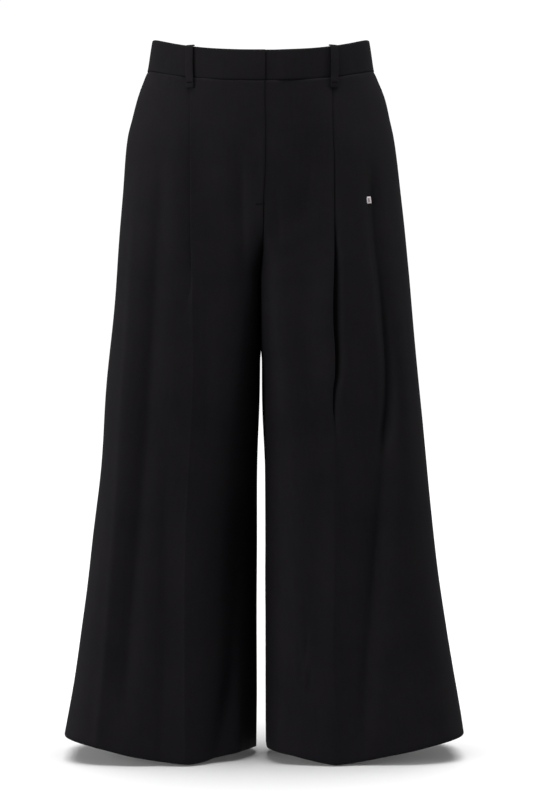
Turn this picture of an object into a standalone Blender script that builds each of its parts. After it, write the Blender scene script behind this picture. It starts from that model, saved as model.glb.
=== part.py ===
"""Cropped wide-leg trousers, hollow as worn: cloth walls cut and joined as the real panels are.

Metres, +Z up. X is positive towards the wearer's left, and the front faces -Y. The origin is the
middle of the waist, level with the middle of the waistband at the sides.
"""

import math

import bmesh
import bpy
import numpy as np

# Cloth
WALL = 0.0014  # panels
BAND_WALL = 0.0024  # waistband, two layers with a stiffener between
SEAM = 0.0003  # clear space between pieces at a seam

# Waist and hem, heights
BAND_TOP_SIDE = 0.0198
BAND_TOP_FRONT = -0.0039
BAND_TOP_BACK = 0.0198
SEAM_SIDE = -0.0194
SEAM_FRONT = -0.0415
SEAM_BACK = -0.0204
CROTCH = -0.2850
HEM_SIDE = -0.8660
HEM_INSEAM = -0.8825
HEM_CREASE_DIP = {"front": 0.0110, "back": 0.0060}

# Shape of the body and leg sections
CREASE_COLUMN = 0.45  # share of a section that lies between the centre and the crease
WAIST_FADE = 0.15  # height over which the rows lose the waist seam's curve
HEM_FADE_TOP = -0.45  # where they start to take up the hem's
LEG_START = {"front": -0.205, "back": -0.090}  # where the centre seam starts to curve under
LEG_BLEND = {"front": 0.040, "back": 0.150}  # height over which the body's section becomes a leg's
LEG_SIDE_START = -0.010  # where it starts to at the sides
LEG_WHOLE = -0.420  # where it is a leg's there
CURVE_TOP = 0.985  # share of the leg's depth at which the seam's curve under starts

# Fly
FLY_END = -0.190
FLY_TUCK = 0.014  # how far the left front reaches in under the right one
FLY_TUCK_RISE = 0.010  # height over which it widens, at the fly's foot
FLY_SLACK = 0.0003  # room between the two, over a seam's space
FLY_FLAT = 0.010  # how far past the centre the lower one stays sunk
FLY_RAMP = 0.016  # over what width it then comes up to the surface
FLY_SINK_FOOT = -0.245
FLY_SINK_RISE = 0.035

# Pleats
FOLD_RADIUS = 0.0010  # of the mid-line at a shut fold
FOLD_ROLL = 0.004  # how much longer the roll's arc is when the pleat is let out
PLEAT_LIP = 0.003  # cloth beyond the folds before the first even column
COLUMNS_BEFORE = 12
COLUMNS_BEYOND = 13
COLUMNS_BACK = 11  # on each side of a back's crease

# Side pockets
MOUTH_OFFSET = 0.024  # from the side seam, at the waist seam
MOUTH_FOOT = -0.165

# Belt loops
LOOP_WIDTH = 0.0105
LOOP_WALL = 0.0016
LOOP_STAND = 0.0030  # finger gap between the loop and the waistband
LOOP_FOOT = 0.0107  # how far it reaches below the waist seam
LOOPS = {
    "loop_front_right": ("right", "front", 0.0868),
    "loop_front_left": ("left", "front", 0.0890),
    "loop_back_right": ("right", "back", 0.0740),
    "loop_back_left": ("left", "back", 0.0740),
    "loop_back_centre": ("left", "back", 0.0),
}

# The tab, on the left front: its middle in the front view, tilt in degrees, and room under it
LABEL = {"x": 0.1340, "z": -0.1863, "width": 0.0068, "height": 0.0108, "tilt": 7.0}
LABEL |= {"wall": 0.0010, "lift": 0.0004}


def table(names, *rows):
    """Named columns of numbers, one row to a height or a fold."""
    return dict(zip(names.split(), np.array(rows, float).T))


# Half widths of the outline, seen from the front
OUTLINE = table(
    "height right left",
    (0.0198, 0.1388, 0.1384),
    (-0.0173, 0.1444, 0.1438),
    (-0.0275, 0.1484, 0.1480),
    (-0.0531, 0.1574, 0.1570),
    (-0.0787, 0.1638, 0.1638),
    (-0.1043, 0.1700, 0.1698),
    (-0.1300, 0.1728, 0.1733),
    (-0.1811, 0.1770, 0.1783),
    (-0.2579, 0.1832, 0.1860),
    (-0.3603, 0.1920, 0.1965),
    (-0.4627, 0.2022, 0.2080),
    (-0.5651, 0.2094, 0.2158),
    (-0.6419, 0.2174, 0.2236),
    (-0.7187, 0.2280, 0.2350),
    (-0.7955, 0.2385, 0.2473),
    (-0.8660, 0.2509, 0.2592),
    (-0.8900, 0.2552, 0.2635),
)

# Depths from the side seam's plane: the body's at its centre, a leg's at its crease. A fullness
# under 1 makes the body squarer than an ellipse.
DEPTHS = table(
    "height front back leg_front_right leg_front_left leg_back fullness",
    (0.0198, 0.1040, 0.1000, 0.1040, 0.1040, 0.1000, 0.85),
    (-0.0194, 0.1075, 0.1065, 0.1040, 0.1040, 0.1060, 0.85),
    (-0.0800, 0.1125, 0.1240, 0.1060, 0.1060, 0.1230, 0.78),
    (-0.1300, 0.1155, 0.1370, 0.1090, 0.1090, 0.1360, 0.72),
    (-0.1800, 0.1160, 0.1420, 0.1120, 0.1120, 0.1410, 0.68),
    (-0.2300, 0.1150, 0.1400, 0.1150, 0.1150, 0.1400, 0.66),
    (-0.2850, 0.1150, 0.1340, 0.1160, 0.1150, 0.1350, 0.66),
    (-0.4200, 0.1150, 0.1250, 0.1130, 0.1110, 0.1240, 0.66),
    (-0.5500, 0.1150, 0.1200, 0.1050, 0.1020, 0.1120, 0.66),
    (-0.7000, 0.1150, 0.1180, 0.0980, 0.0940, 0.1030, 0.66),
    (-0.8900, 0.1150, 0.1180, 0.0950, 0.0900, 0.0980, 0.66),
)

# How far out the pressed creases stand
CREASES = table(
    "height front_right front_left back_right back_left",
    (0.0198, 0.0905, 0.0885, 0.0700, 0.0700),
    (-0.1300, 0.0905, 0.0908, 0.0820, 0.0820),
    (-0.2100, 0.0903, 0.0932, 0.0871, 0.0870),
    (-0.2450, 0.0900, 0.0925, 0.0893, 0.0891),
    (-0.2700, 0.0868, 0.0920, 0.0908, 0.0906),
    (-0.3300, 0.0858, 0.0905, 0.0942, 0.0939),
    (-0.4000, 0.0852, 0.0893, 0.0980, 0.0975),
    (-0.5180, 0.0898, 0.0899, 0.1052, 0.1051),
    (-0.6070, 0.0930, 0.0905, 0.1107, 0.1108),
    (-0.7300, 0.0935, 0.0889, 0.1182, 0.1186),
    (-0.8650, 0.0931, 0.0972, 0.1265, 0.1274),
    (-0.8900, 0.0930, 0.0980, 0.1280, 0.1290),
)

# A leg's shape between its creases and its seams: 0 is an ellipse, 1 runs straight, and below 0
# is squarer than an ellipse
LEG_SHAPE = table(
    "height inner_right inner_left inner_back outer_right outer_left outer_back",
    (0.0198, -0.60, -0.72, -0.35, -0.40, -0.40, -0.30),
    (-0.2500, -0.60, -0.72, -0.35, -0.55, -0.45, -0.35),
    (-0.2850, -0.58, -0.72, -0.33, -0.60, -0.50, -0.35),
    (-0.3400, -0.52, -0.70, -0.30, -0.64, -0.52, -0.37),
    (-0.4000, -0.44, -0.66, -0.28, -0.66, -0.52, -0.38),
    (-0.5000, -0.27, -0.58, -0.25, -0.66, -0.54, -0.40),
    (-0.6000, -0.06, -0.50, -0.20, -0.66, -0.54, -0.40),
    (-0.7000, 0.06, -0.42, -0.15, -0.64, -0.52, -0.40),
    (-0.8000, 0.10, -0.35, -0.10, -0.60, -0.50, -0.38),
    (-0.8900, 0.10, -0.30, -0.05, -0.58, -0.48, -0.36),
)

# The inner legs: half the space between them, and how far in front of the side seams theirs lie
INSEAM = table(
    "height half_gap forward",
    (0.0000, 0.00015, 0.0120),
    (-0.2850, 0.00015, 0.0120),
    (-0.3690, 0.00015, 0.0080),
    (-0.3860, 0.0016, 0.0075),
    (-0.4370, 0.0032, 0.0060),
    (-0.5140, 0.0048, 0.0040),
    (-0.6160, 0.0054, 0.0020),
    (-0.8000, 0.0056, 0.0000),
    (-0.8900, 0.0062, 0.0000),
)

# The centre-front line wanders a little, as worn
CENTRE = table(
    "height x",
    (0.0200, 0.0056),
    (-0.0400, 0.0046),
    (-0.0900, 0.0056),
    (-0.1500, 0.0050),
    (-0.1900, 0.0032),
    (-0.2250, 0.0031),
    (-0.2450, 0.0028),
    (-0.2650, 0.0014),
    (-0.2850, 0.0000),
    (-0.9000, 0.0000),
)

# The pleats: length of cloth between the two folds, how far it is folded (180 is flat shut,
# 0 is let out), and over what width the cloth beyond comes back to the surface
PLEATS = {
    "right": table(
        "height length turn merge",
        (0.0000, 0.0140, 180, 0.014),
        (-0.1500, 0.0110, 180, 0.014),
        (-0.2000, 0.0060, 180, 0.014),
        (-0.2280, 0.0030, 170, 0.012),
        (-0.2430, 0.0016, 90, 0.010),
        (-0.2560, 0.0020, 20, 0.010),
        (-0.2800, 0.0030, 4, 0.012),
        (-0.3300, 0.0060, 0, 0.014),
        (-0.9000, 0.0120, 0, 0.014),
    ),
    "left": table(
        "height length turn merge",
        (0.0000, 0.0160, 180, 0.012),
        (-0.1700, 0.0160, 180, 0.012),
        (-0.2200, 0.0150, 172, 0.013),
        (-0.2700, 0.0130, 140, 0.014),
        (-0.3300, 0.0120, 105, 0.016),
        (-0.3750, 0.0110, 92, 0.018),
        (-0.4200, 0.0080, 60, 0.020),
        (-0.4800, 0.0070, 20, 0.024),
        (-0.5500, 0.0100, 0, 0.030),
        (-0.9000, 0.0160, 0, 0.030),
    ),
}

# Drape folds: five places down the fold, distances from the centre plane. Height is above the
# surface, so a trough's is below 0. Left is 1 and right is -1, front is 1 and back is -1.
FOLDS = table(
    "leg face top foot x1 x2 x3 x4 x5 width height",
    # right front: ridge near the side with a trough inside it, and the slack at the inner leg
    (-1, 1, -0.10, -0.99, 0.160, 0.171, 0.190, 0.212, 0.236, 0.013, 0.0050),
    (-1, 1, -0.13, -0.74, 0.122, 0.143, 0.152, 0.161, 0.167, 0.016, -0.0026),
    (-1, 1, -0.52, -0.99, 0.014, 0.019, 0.033, 0.052, 0.060, 0.020, -0.0090),
    # left front: the long fold outside the pleat, a ridge inside it, and a soft one near the fly
    (1, 1, -0.14, -0.90, 0.144, 0.154, 0.148, 0.131, 0.125, 0.018, -0.0060),
    (1, 1, -0.22, -0.60, 0.077, 0.077, 0.077, 0.078, 0.080, 0.014, 0.0036),
    (1, 1, -0.42, -0.97, 0.024, 0.030, 0.034, 0.038, 0.042, 0.014, -0.0014),
    # backs: soft folds that fall from the seat
    (-1, -1, -0.20, -0.96, 0.134, 0.142, 0.150, 0.160, 0.172, 0.016, -0.0045),
    (-1, -1, -0.24, -0.96, 0.048, 0.052, 0.056, 0.060, 0.066, 0.016, -0.0040),
    (-1, -1, -0.18, -0.90, 0.160, 0.168, 0.178, 0.188, 0.206, 0.016, 0.0030),
    (1, -1, -0.19, -0.96, 0.130, 0.140, 0.152, 0.158, 0.168, 0.016, -0.0045),
    (1, -1, -0.26, -0.96, 0.044, 0.050, 0.052, 0.058, 0.062, 0.016, -0.0040),
    (1, -1, -0.20, -0.92, 0.164, 0.172, 0.180, 0.194, 0.212, 0.016, 0.0030),
)
FOLD_FADE = 0.10  # height over which a fold comes and goes

# Heights of the panels' rows, close together where the centre seam curves under
ROW_HEIGHTS = (
    SEAM_SIDE, -0.036, -0.058, -0.082, -0.106, -0.130, -0.155, -0.180, -0.196, -0.212, -0.228, -0.243,
    -0.256, -0.267, -0.276, -0.2822, CROTCH, -0.298, -0.320, -0.345, -0.369, -0.400, -0.440, -0.485,
    -0.530, -0.580, -0.630, -0.685, -0.740, -0.800, HEM_SIDE,
)  # fmt: skip

CLOTH = (0.0098, 0.0092, 0.0108, 1.0)
CLOTH_INSIDE = (0.0090, 0.0086, 0.0098, 1.0)
LABEL_WHITE = (0.83, 0.80, 0.80, 1.0)

SIDES = {"right": -1, "left": 1}
FACES = {"front": 1, "back": -1}


def read(columns, name, height):
    """A smooth curve through a table's column that never overshoots its rows, read at a height."""
    order = np.argsort(columns["height"])
    xs = columns["height"][order]
    ys = columns[name][order]
    steps = np.diff(xs)
    slopes = np.diff(ys) / steps
    before, after = slopes[:-1], slopes[1:]
    level = before * after <= 0
    total = np.where(level, 1.0, before + after)
    middle = np.where(level, 0.0, 2 * before * after / total)
    tangents = np.concatenate([slopes[:1], middle, slopes[-1:]])
    x = np.clip(height, xs[0], xs[-1])
    i = np.clip(np.searchsorted(xs, x) - 1, 0, len(steps) - 1)
    t = (x - xs[i]) / steps[i]
    rise = ys[i] * (1 + 2 * t) * (1 - t) ** 2 + ys[i + 1] * (3 - 2 * t) * t**2
    lean = steps[i] * (tangents[i] * t * (1 - t) ** 2 - tangents[i + 1] * t**2 * (1 - t))
    return rise + lean


def smooth(t):
    """0 up to t = 0 and 1 from t = 1, with a soft start and end."""
    t = np.clip(t, 0, 1)
    return t * t * (3 - 2 * t)


def leg_shares(face, height):
    """How far a section is a leg's and not the body's, at the centre seam and from the crease out."""
    centre = smooth((LEG_START[face] - height) / LEG_BLEND[face])
    return centre, smooth((LEG_SIDE_START - height) / (LEG_SIDE_START - LEG_WHOLE))


def centre_edge(side, height):
    """Where a front's centre seam lies, measured outwards from the centre plane on its own side."""
    return SIDES[side] * float(read(CENTRE, "x", height)) + SEAM / 2


def fly_tuck(side, height):
    """How far a front reaches past its centre seam: the left one goes in under the right one."""
    if side == "right":
        return 0.0
    return FLY_TUCK * smooth((height - FLY_END) / FLY_TUCK_RISE)


def quarter(share, flat):
    """A quarter of a rounded section: how far it has run along and risen, from its seam to its crease."""
    angle = np.pi / 2 * share
    straight = max(flat, 0.0)
    power = 1 + min(flat, 0.0)
    run = 1 - np.clip(np.cos(angle), 0, 1) ** power
    rise = np.sin(angle) ** power
    return (1 - straight) * run + straight * share, (1 - straight) * rise + straight * share


def curve_under(face, height, flat):
    """Share of a leg's quarter section that is cut away where the centre seam curves under."""
    above = float(np.clip((height - CROTCH) / (LEG_START[face] - CROTCH), 0, 1))
    risen = min(math.sqrt(1 - (1 - above) ** 2), CURVE_TOP)
    return 2 / math.pi * math.asin(risen ** (1 / (1 + min(flat, 0.0)))) if risen else 0.0


def base_section(side, face, height, wall, edge, count=121):
    """Mid-line of a section from its centre edge to the side seam: distances out, then depths."""
    share = np.linspace(0, 1, count)
    inner = np.clip(share / CREASE_COLUMN, 0, 1)
    outer = np.clip((share - CREASE_COLUMN) / (1 - CREASE_COLUMN), 0, 1)
    half = float(read(OUTLINE, side, height)) - wall / 2
    depth = float(read(DEPTHS, face, height)) - wall / 2
    crease = float(read(CREASES, f"{face}_{side}", height))
    at_centre, at_side = leg_shares(face, height)

    gap = float(read(INSEAM, "half_gap", height)) + wall / 2
    edge = edge + at_centre * (gap - SEAM / 2)
    first = math.asin(edge / half)
    middle = math.asin(crease / half)
    fullness = float(read(DEPTHS, "fullness", height))
    last = math.acos((SEAM / 2 / depth) ** (1 / fullness))
    angle = first + (middle - first) * inner + (last - middle) * outer
    body_out = half * np.sin(angle)
    body_deep = depth * np.cos(angle) ** fullness

    # Above the crotch a leg's section reaches past the centre and is cut there, so that the centre
    # seam runs down a quarter circle
    leg_key = "leg_back" if face == "back" else f"leg_front_{side}"
    leg_depth = float(read(DEPTHS, leg_key, height)) - wall / 2
    start_deep = FACES[face] * float(read(INSEAM, "forward", height)) + SEAM / 2
    inner_flat = float(read(LEG_SHAPE, "inner_back" if face == "back" else f"inner_{side}", height))
    outer_flat = float(read(LEG_SHAPE, "outer_back" if face == "back" else f"outer_{side}", height))
    cut = curve_under(face, height, inner_flat)
    past = quarter(cut, inner_flat)[0]
    start = (edge - past * crease) / (1 - past)
    run, rise = quarter(cut + (1 - cut) * inner, inner_flat)
    run_side, rise_side = quarter(1 - outer, outer_flat)
    inside = share < CREASE_COLUMN
    leg_out = np.where(inside, start + (crease - start) * run, half + (crease - half) * run_side)
    deep_side = SEAM / 2 + (leg_depth - SEAM / 2) * rise_side
    leg_deep = np.where(inside, start_deep + (leg_depth - start_deep) * rise, deep_side)

    blend = at_centre + (at_side - at_centre) * smooth(inner)
    return (1 - blend) * body_out + blend * leg_out, (1 - blend) * body_deep + blend * leg_deep


def fold_height(side, face, height, out):
    """How far the drape folds push the cloth out at one height."""
    total = np.zeros_like(out)
    for i in range(len(FOLDS["leg"])):
        fold = {name: column[i] for name, column in FOLDS.items()}
        if fold["leg"] != SIDES[side] or fold["face"] != FACES[face]:
            continue
        down = (fold["top"] - height) / (fold["top"] - fold["foot"])
        if not 0 < down < 1:
            continue
        path = np.interp(down * 4, range(5), [fold[f"x{n}"] for n in range(1, 6)])
        fade = smooth((fold["top"] - height) / FOLD_FADE) * smooth((height - fold["foot"]) / FOLD_FADE)
        total += fold["height"] * fade * np.exp(-(((out - path) / fold["width"]) ** 2))
    return total


def normals_of(points):
    """Unit vectors across a section's line, pointing away from the wearer: (out, deep) pairs."""
    run = np.gradient(points, axis=0)
    across = np.stack([-run[:, 1], run[:, 0]], axis=1)
    return across / np.linalg.norm(across, axis=1)[:, None]


def pleat_columns(side, height):
    """Distances along the section from the fold's edge, and depths below it, of the pleat's columns."""
    pleat = PLEATS[side]
    length = float(read(pleat, "length", height))
    turn = math.radians(max(float(read(pleat, "turn", height)), 0.5))
    arc = math.pi * FOLD_RADIUS + (1 - turn / math.pi) * FOLD_ROLL
    radius = arc / turn
    places = [(0.0, 0.0)]
    for part in (1 / 3, 2 / 3, 1):
        places.append((radius * math.sin(part * turn), radius * (1 - math.cos(part * turn))))
    for part in (0.5, 1):
        run = length * part
        x, y = places[3]
        places.append((x + run * math.cos(turn), y + run * math.sin(turn)))
    x, y = places[5]
    for part in (1 / 3, 2 / 3, 1):
        rest = turn * (1 - part)
        x_part = x + radius * (math.sin(turn) - math.sin(rest))
        y_part = y + radius * (math.cos(rest) - math.cos(turn))
        places.append((x_part, y_part))
    return np.array(places)


def front_columns(side, height, length, crease_at):
    """Distance along the section and depth below it for each column of a front, centre to side."""
    pleat = pleat_columns(side, height)
    tuck = fly_tuck(side, height)
    # The left front has a column to spare at the centre, where its tucked edge starts
    second = max(0.0, FLY_TUCK / 3 - tuck) if side == "left" else crease_at / COLUMNS_BEFORE
    before = np.concatenate([[-tuck], np.linspace(second, crease_at, COLUMNS_BEFORE)[:-1]])
    end, deep = pleat[-1]
    merge = float(read(PLEATS[side], "merge", height))
    let_out = end + float(read(PLEATS[side], "length", height))
    lip = crease_at + PLEAT_LIP + 0.8 * let_out
    beyond = np.linspace(lip, length - mouth_width(height), COLUMNS_BEYOND)
    between = (crease_at + end + lip) / 2
    along = np.concatenate([before, crease_at + pleat[:, 0], [between], beyond])
    ramp = crease_at + max(end, 2 * FOLD_RADIUS)
    below = np.concatenate([[between], beyond])
    sunk = deep * (1 - smooth((below - ramp) / merge))
    return along, np.concatenate([np.zeros(COLUMNS_BEFORE), pleat[:, 1], sunk])


def line_lengths(section):
    """Length of a section's line up to each of its points."""
    steps = np.linalg.norm(np.diff(np.stack(section, axis=1), axis=0), axis=1)
    return np.concatenate([[0], np.cumsum(steps)])


def mouth_width(height):
    """How far the front's edge stands back from the side seam at the pocket's mouth."""
    return MOUTH_OFFSET * float(np.clip((height - MOUTH_FOOT) / (SEAM_SIDE - MOUTH_FOOT), 0, 1))


def place_on(section, along, sunk):
    """Points at distances along a section's line, sunk below it. Before its start it is mirrored."""
    points = np.stack(section, axis=1)
    lengths = line_lengths(section)
    across = normals_of(points)
    at = np.stack([np.interp(np.abs(along), lengths, points[:, i]) for i in (0, 1)], axis=1)
    normal = np.stack([np.interp(np.abs(along), lengths, across[:, i]) for i in (0, 1)], axis=1)
    normal /= np.linalg.norm(normal, axis=1)[:, None]
    mirrored = np.asarray(along) < 0
    at[mirrored, 0] = 2 * points[0, 0] - at[mirrored, 0]
    normal[mirrored, 0] *= -1
    return at - normal * np.asarray(sunk)[:, None]


def edge_level(out, half, side_level, centre_level):
    """Height of the waist seam or the band's top edge at a distance out from the centre."""
    across = np.clip(np.abs(out) / half, 0, 1)
    return centre_level + (side_level - centre_level) * (0.55 * across**2 + 0.45 * across**4)


def waist_seam(side, face, out, wall=0.0):
    half = float(read(OUTLINE, side, SEAM_SIDE)) - wall / 2
    return edge_level(out, half, SEAM_SIDE, SEAM_FRONT if face == "front" else SEAM_BACK)


def band_top(side, face, out, wall=0.0):
    half = float(read(OUTLINE, side, BAND_TOP_SIDE)) - wall / 2
    return edge_level(out, half, BAND_TOP_SIDE, BAND_TOP_FRONT if face == "front" else BAND_TOP_BACK)


def hem_level(side, face, out):
    """Height of the hem: rises to the side seam, and dips at the crease."""
    half = float(read(OUTLINE, side, HEM_SIDE))
    crease = float(read(CREASES, f"{face}_{side}", HEM_SIDE))
    across = np.clip(out / half, 0, 1)
    dip = np.where(out < crease, out / crease, (half - out) / (half - crease))
    slope = HEM_INSEAM + (HEM_SIDE - HEM_INSEAM) * (0.35 * across + 0.65 * across**2)
    return slope - HEM_CREASE_DIP[face] * smooth(np.clip(dip, 0, 1))


def row_height(side, face, height, out):
    """Height of each point of a row, with the waist seam's and the hem's own curves carried in."""
    top = waist_seam(side, face, out, WALL) - SEAM / 2 - SEAM_SIDE
    top = top * smooth(1 - (SEAM_SIDE - height) / WAIST_FADE)
    down = smooth((HEM_FADE_TOP - height) / (HEM_FADE_TOP - HEM_SIDE))
    return height + top + (hem_level(side, face, out) - HEM_SIDE) * down


def skins(side, face, heights, rows, wall, edges, mitre_side):
    """Outer and inner points of a wall from its mid-line rows. At a seam the wall ends square to it."""
    outer, inner = [], []
    for height, row, edge in zip(heights, rows, edges):
        normal = normals_of(row)
        if height <= CROTCH:
            normal[0] = (-1.0, 0.0)
        if mitre_side:
            normal[-1] = (1.0, 0.0)
        for skin, sign in ((outer, 1), (inner, -1)):
            points = row + sign * normal * wall / 2
            points[:, 0] = np.maximum(points[:, 0], edge)
            points[:, 1] = np.maximum(points[:, 1], lowest_depth(side, face, height, points[:, 0]))
            level = row_height(side, face, height, row[:, 0])
            x = SIDES[side] * points[:, 0]
            y = -FACES[face] * points[:, 1]
            skin.append(np.stack([x, y, level], axis=1))
    return np.array(outer), np.array(inner)


def lowest_depth(side, face, height, out):
    """Below the crotch a front and a back stop at a plane through the leg's two seams."""
    if height > CROTCH:
        return np.full_like(out, -np.inf)
    forward = float(read(INSEAM, "forward", height))
    return FACES[face] * forward * (1 - out / float(read(OUTLINE, side, height))) + SEAM / 2


def wall_object(name, outer, inner, colour):
    """A closed wall between two skins: a grid of faces, thickened and moved to its points."""
    rows, columns = outer.shape[:2]
    mesh = bpy.data.meshes.new(name)
    bm = bmesh.new()
    place = bm.verts.layers.int.new("place")
    bmesh.ops.create_grid(bm, x_segments=columns - 1, y_segments=rows - 1, size=0.5)
    for vert in bm.verts:
        row = round((vert.co.y + 0.5) * (rows - 1))
        vert[place] = row * columns + round((vert.co.x + 0.5) * (columns - 1))
    raised = bmesh.ops.extrude_face_region(bm, geom=bm.faces[:], use_keep_orig=True)["geom"]
    raised = {part for part in raised if isinstance(part, bmesh.types.BMVert)}
    for vert in bm.verts:
        skin = outer if vert in raised else inner
        vert.co = skin.reshape(-1, 3)[vert[place]]
    bm.verts.layers.int.remove(place)
    bmesh.ops.recalc_face_normals(bm, faces=bm.faces[:])
    if bm.calc_volume(signed=True) < 0:
        bmesh.ops.reverse_faces(bm, faces=bm.faces[:])
    bm.to_mesh(mesh)
    bm.free()
    mesh.shade_smooth()
    mesh.set_sharp_from_angle(angle=math.radians(50))
    mesh.materials.append(material(f"{name}_cloth", colour))
    obj = bpy.data.objects.new(name, mesh)
    bpy.context.scene.collection.objects.link(obj)
    return obj


def material(name, colour):
    made = bpy.data.materials.new(name)
    made.use_nodes = True
    shader = made.node_tree.nodes["Principled BSDF"]
    shader.inputs["Base Color"].default_value = colour
    shader.inputs["Roughness"].default_value = 0.85
    shader.inputs["Metallic"].default_value = 0.0
    return made


def front_rows(side):
    """Mid-line rows of a front, centre to side: pleated, folded, and cut back at the pocket's mouth."""
    rows = []
    for height in ROW_HEIGHTS:
        section = base_section(side, "front", height, WALL, centre_edge(side, height))
        lengths = line_lengths(section)
        crease = float(read(CREASES, f"front_{side}", height))
        crease_at = float(np.interp(crease, section[0], lengths))
        along, sunk = front_columns(side, height, lengths[-1], crease_at)
        rows.append(front_row(side, height, section, along, sunk))
    return rows


def front_row(side, height, section, along, sunk):
    out = np.interp(along, line_lengths(section), section[0]) + np.minimum(along, 0)
    sunk = sunk - fold_height(side, "front", height, out)
    if side == "left":
        sunk = sunk + fly_sink(height, out, WALL)
    return place_on(section, along, sunk)


def fly_sink(height, out, wall):
    """How far the left side sinks to pass under the right one at the fly."""
    centre = float(read(CENTRE, "x", height))
    near = 1 - smooth((out - centre - FLY_FLAT) / FLY_RAMP)
    return (wall + SEAM + FLY_SLACK) * near * smooth((height - FLY_SINK_FOOT) / FLY_SINK_RISE)


def front_panel(side):
    """A front's wall. Below the pocket it meets the back at the side seam, so it ends square to it."""
    rows = front_rows(side)
    edges = [centre_edge(side, h) - fly_tuck(side, h) if h > CROTCH else SEAM / 2 for h in ROW_HEIGHTS]
    outer, inner = skins(side, "front", ROW_HEIGHTS, rows, WALL, edges, False)
    out = np.array([SIDES[side] * WALL / 2, 0, 0])
    for row, height in enumerate(ROW_HEIGHTS):
        if height < MOUTH_FOOT:
            middle = (outer[row, -1] + inner[row, -1]) / 2
            outer[row, -1] = middle + out
            inner[row, -1] = middle - out
    return outer, inner


def back_panel(side):
    """A back, from the centre seam and the inner leg to the side seam."""
    rows = []
    for height in ROW_HEIGHTS:
        section = base_section(side, "back", height, WALL, SEAM / 2)
        lengths = line_lengths(section)
        crease_at = float(np.interp(read(CREASES, f"back_{side}", height), section[0], lengths))
        inner = np.linspace(0, crease_at, COLUMNS_BACK)
        along = np.concatenate([inner, np.linspace(crease_at, lengths[-1], COLUMNS_BACK)[1:]])
        out = np.interp(along, lengths, section[0])
        rows.append(place_on(section, along, -fold_height(side, "back", height, out)))
    return skins(side, "back", ROW_HEIGHTS, rows, WALL, [SEAM / 2] * len(rows), True)


def pocket_facing(side):
    """The strip behind a pocket's mouth: the front's own last columns, one cloth further in, carried
    on to the side seam."""
    heights = [height for height in ROW_HEIGHTS if height > MOUTH_FOOT]
    rows = []
    for height, front in zip(heights, front_rows(side)):
        section = base_section(side, "front", height, WALL, centre_edge(side, height))
        length = line_lengths(section)[-1]
        along = length - mouth_width(height) * np.array([0.5, 0.0])
        beyond = front_row(side, height, section, along, np.zeros(2))
        row = np.concatenate([front[-3:], beyond])
        rows.append(row - normals_of(row) * (WALL + SEAM))
    return skins(side, "front", heights, rows, WALL, [0] * len(heights), True)


def band_grid(side, face, edge, columns, sunk_by=None):
    """Outer and inner points of a length of waistband, from its edge near the centre to the side."""
    outer, inner = [], []
    for part in (0, 0.33, 0.67, 1):
        height = SEAM_SIDE + (BAND_TOP_SIDE - SEAM_SIDE) * part
        section = base_section(side, face, height, BAND_WALL, edge)
        lengths = line_lengths(section)
        along = np.linspace(0, lengths[-1], columns)
        out = np.interp(along, lengths, section[0])
        sunk = np.zeros_like(out) if sunk_by is None else sunk_by(out)
        row = place_on(section, along, sunk)
        low = waist_seam(side, face, row[:, 0], BAND_WALL) + SEAM / 2
        level = low + (band_top(side, face, row[:, 0], BAND_WALL) - low) * part
        normal = normals_of(row)
        normal[-1] = (1.0, 0.0)
        for skin, sign in ((outer, 1), (inner, -1)):
            points = row + sign * normal * BAND_WALL / 2
            xs = SIDES[side] * points[:, 0]
            skin.append(np.stack([xs, -FACES[face] * points[:, 1], level], axis=1))
    return np.array(outer), np.array(inner)


def front_bands():
    """The two front lengths of waistband: the right one laps over the left one's tucked end."""
    centre = float(read(CENTRE, "x", 0.0))
    right = band_grid("right", "front", -centre + SEAM / 2, 13)

    def sink(out):
        return (BAND_WALL + SEAM) * (1 - smooth((out - centre - FLY_FLAT) / FLY_RAMP))

    left = band_grid("left", "front", centre - FLY_TUCK, 15, sink)
    return {"waistband_right": right, "waistband_left": left}


def back_band():
    """The back length of waistband, in one piece from side seam to side seam."""
    right = band_grid("right", "back", 0.0, 12)
    left = band_grid("left", "back", 0.0, 12)
    return tuple(np.concatenate([one[:, ::-1], other[:, 1:]], axis=1) for one, other in zip(right, left))


def surface_point(side, face, height, wall, out):
    """A point of the outer surface and the direction away from it, at a distance out."""
    section = base_section(side, face, height, wall, 0.0)
    points = np.stack(section, axis=1)
    normal = normals_of(points)
    at = np.array([np.interp(out, section[0], points[:, i] + normal[:, i] * wall / 2) for i in (0, 1)])
    away = np.array([np.interp(out, section[0], normal[:, i]) for i in (0, 1)])
    return at, away / np.linalg.norm(away)


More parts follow.
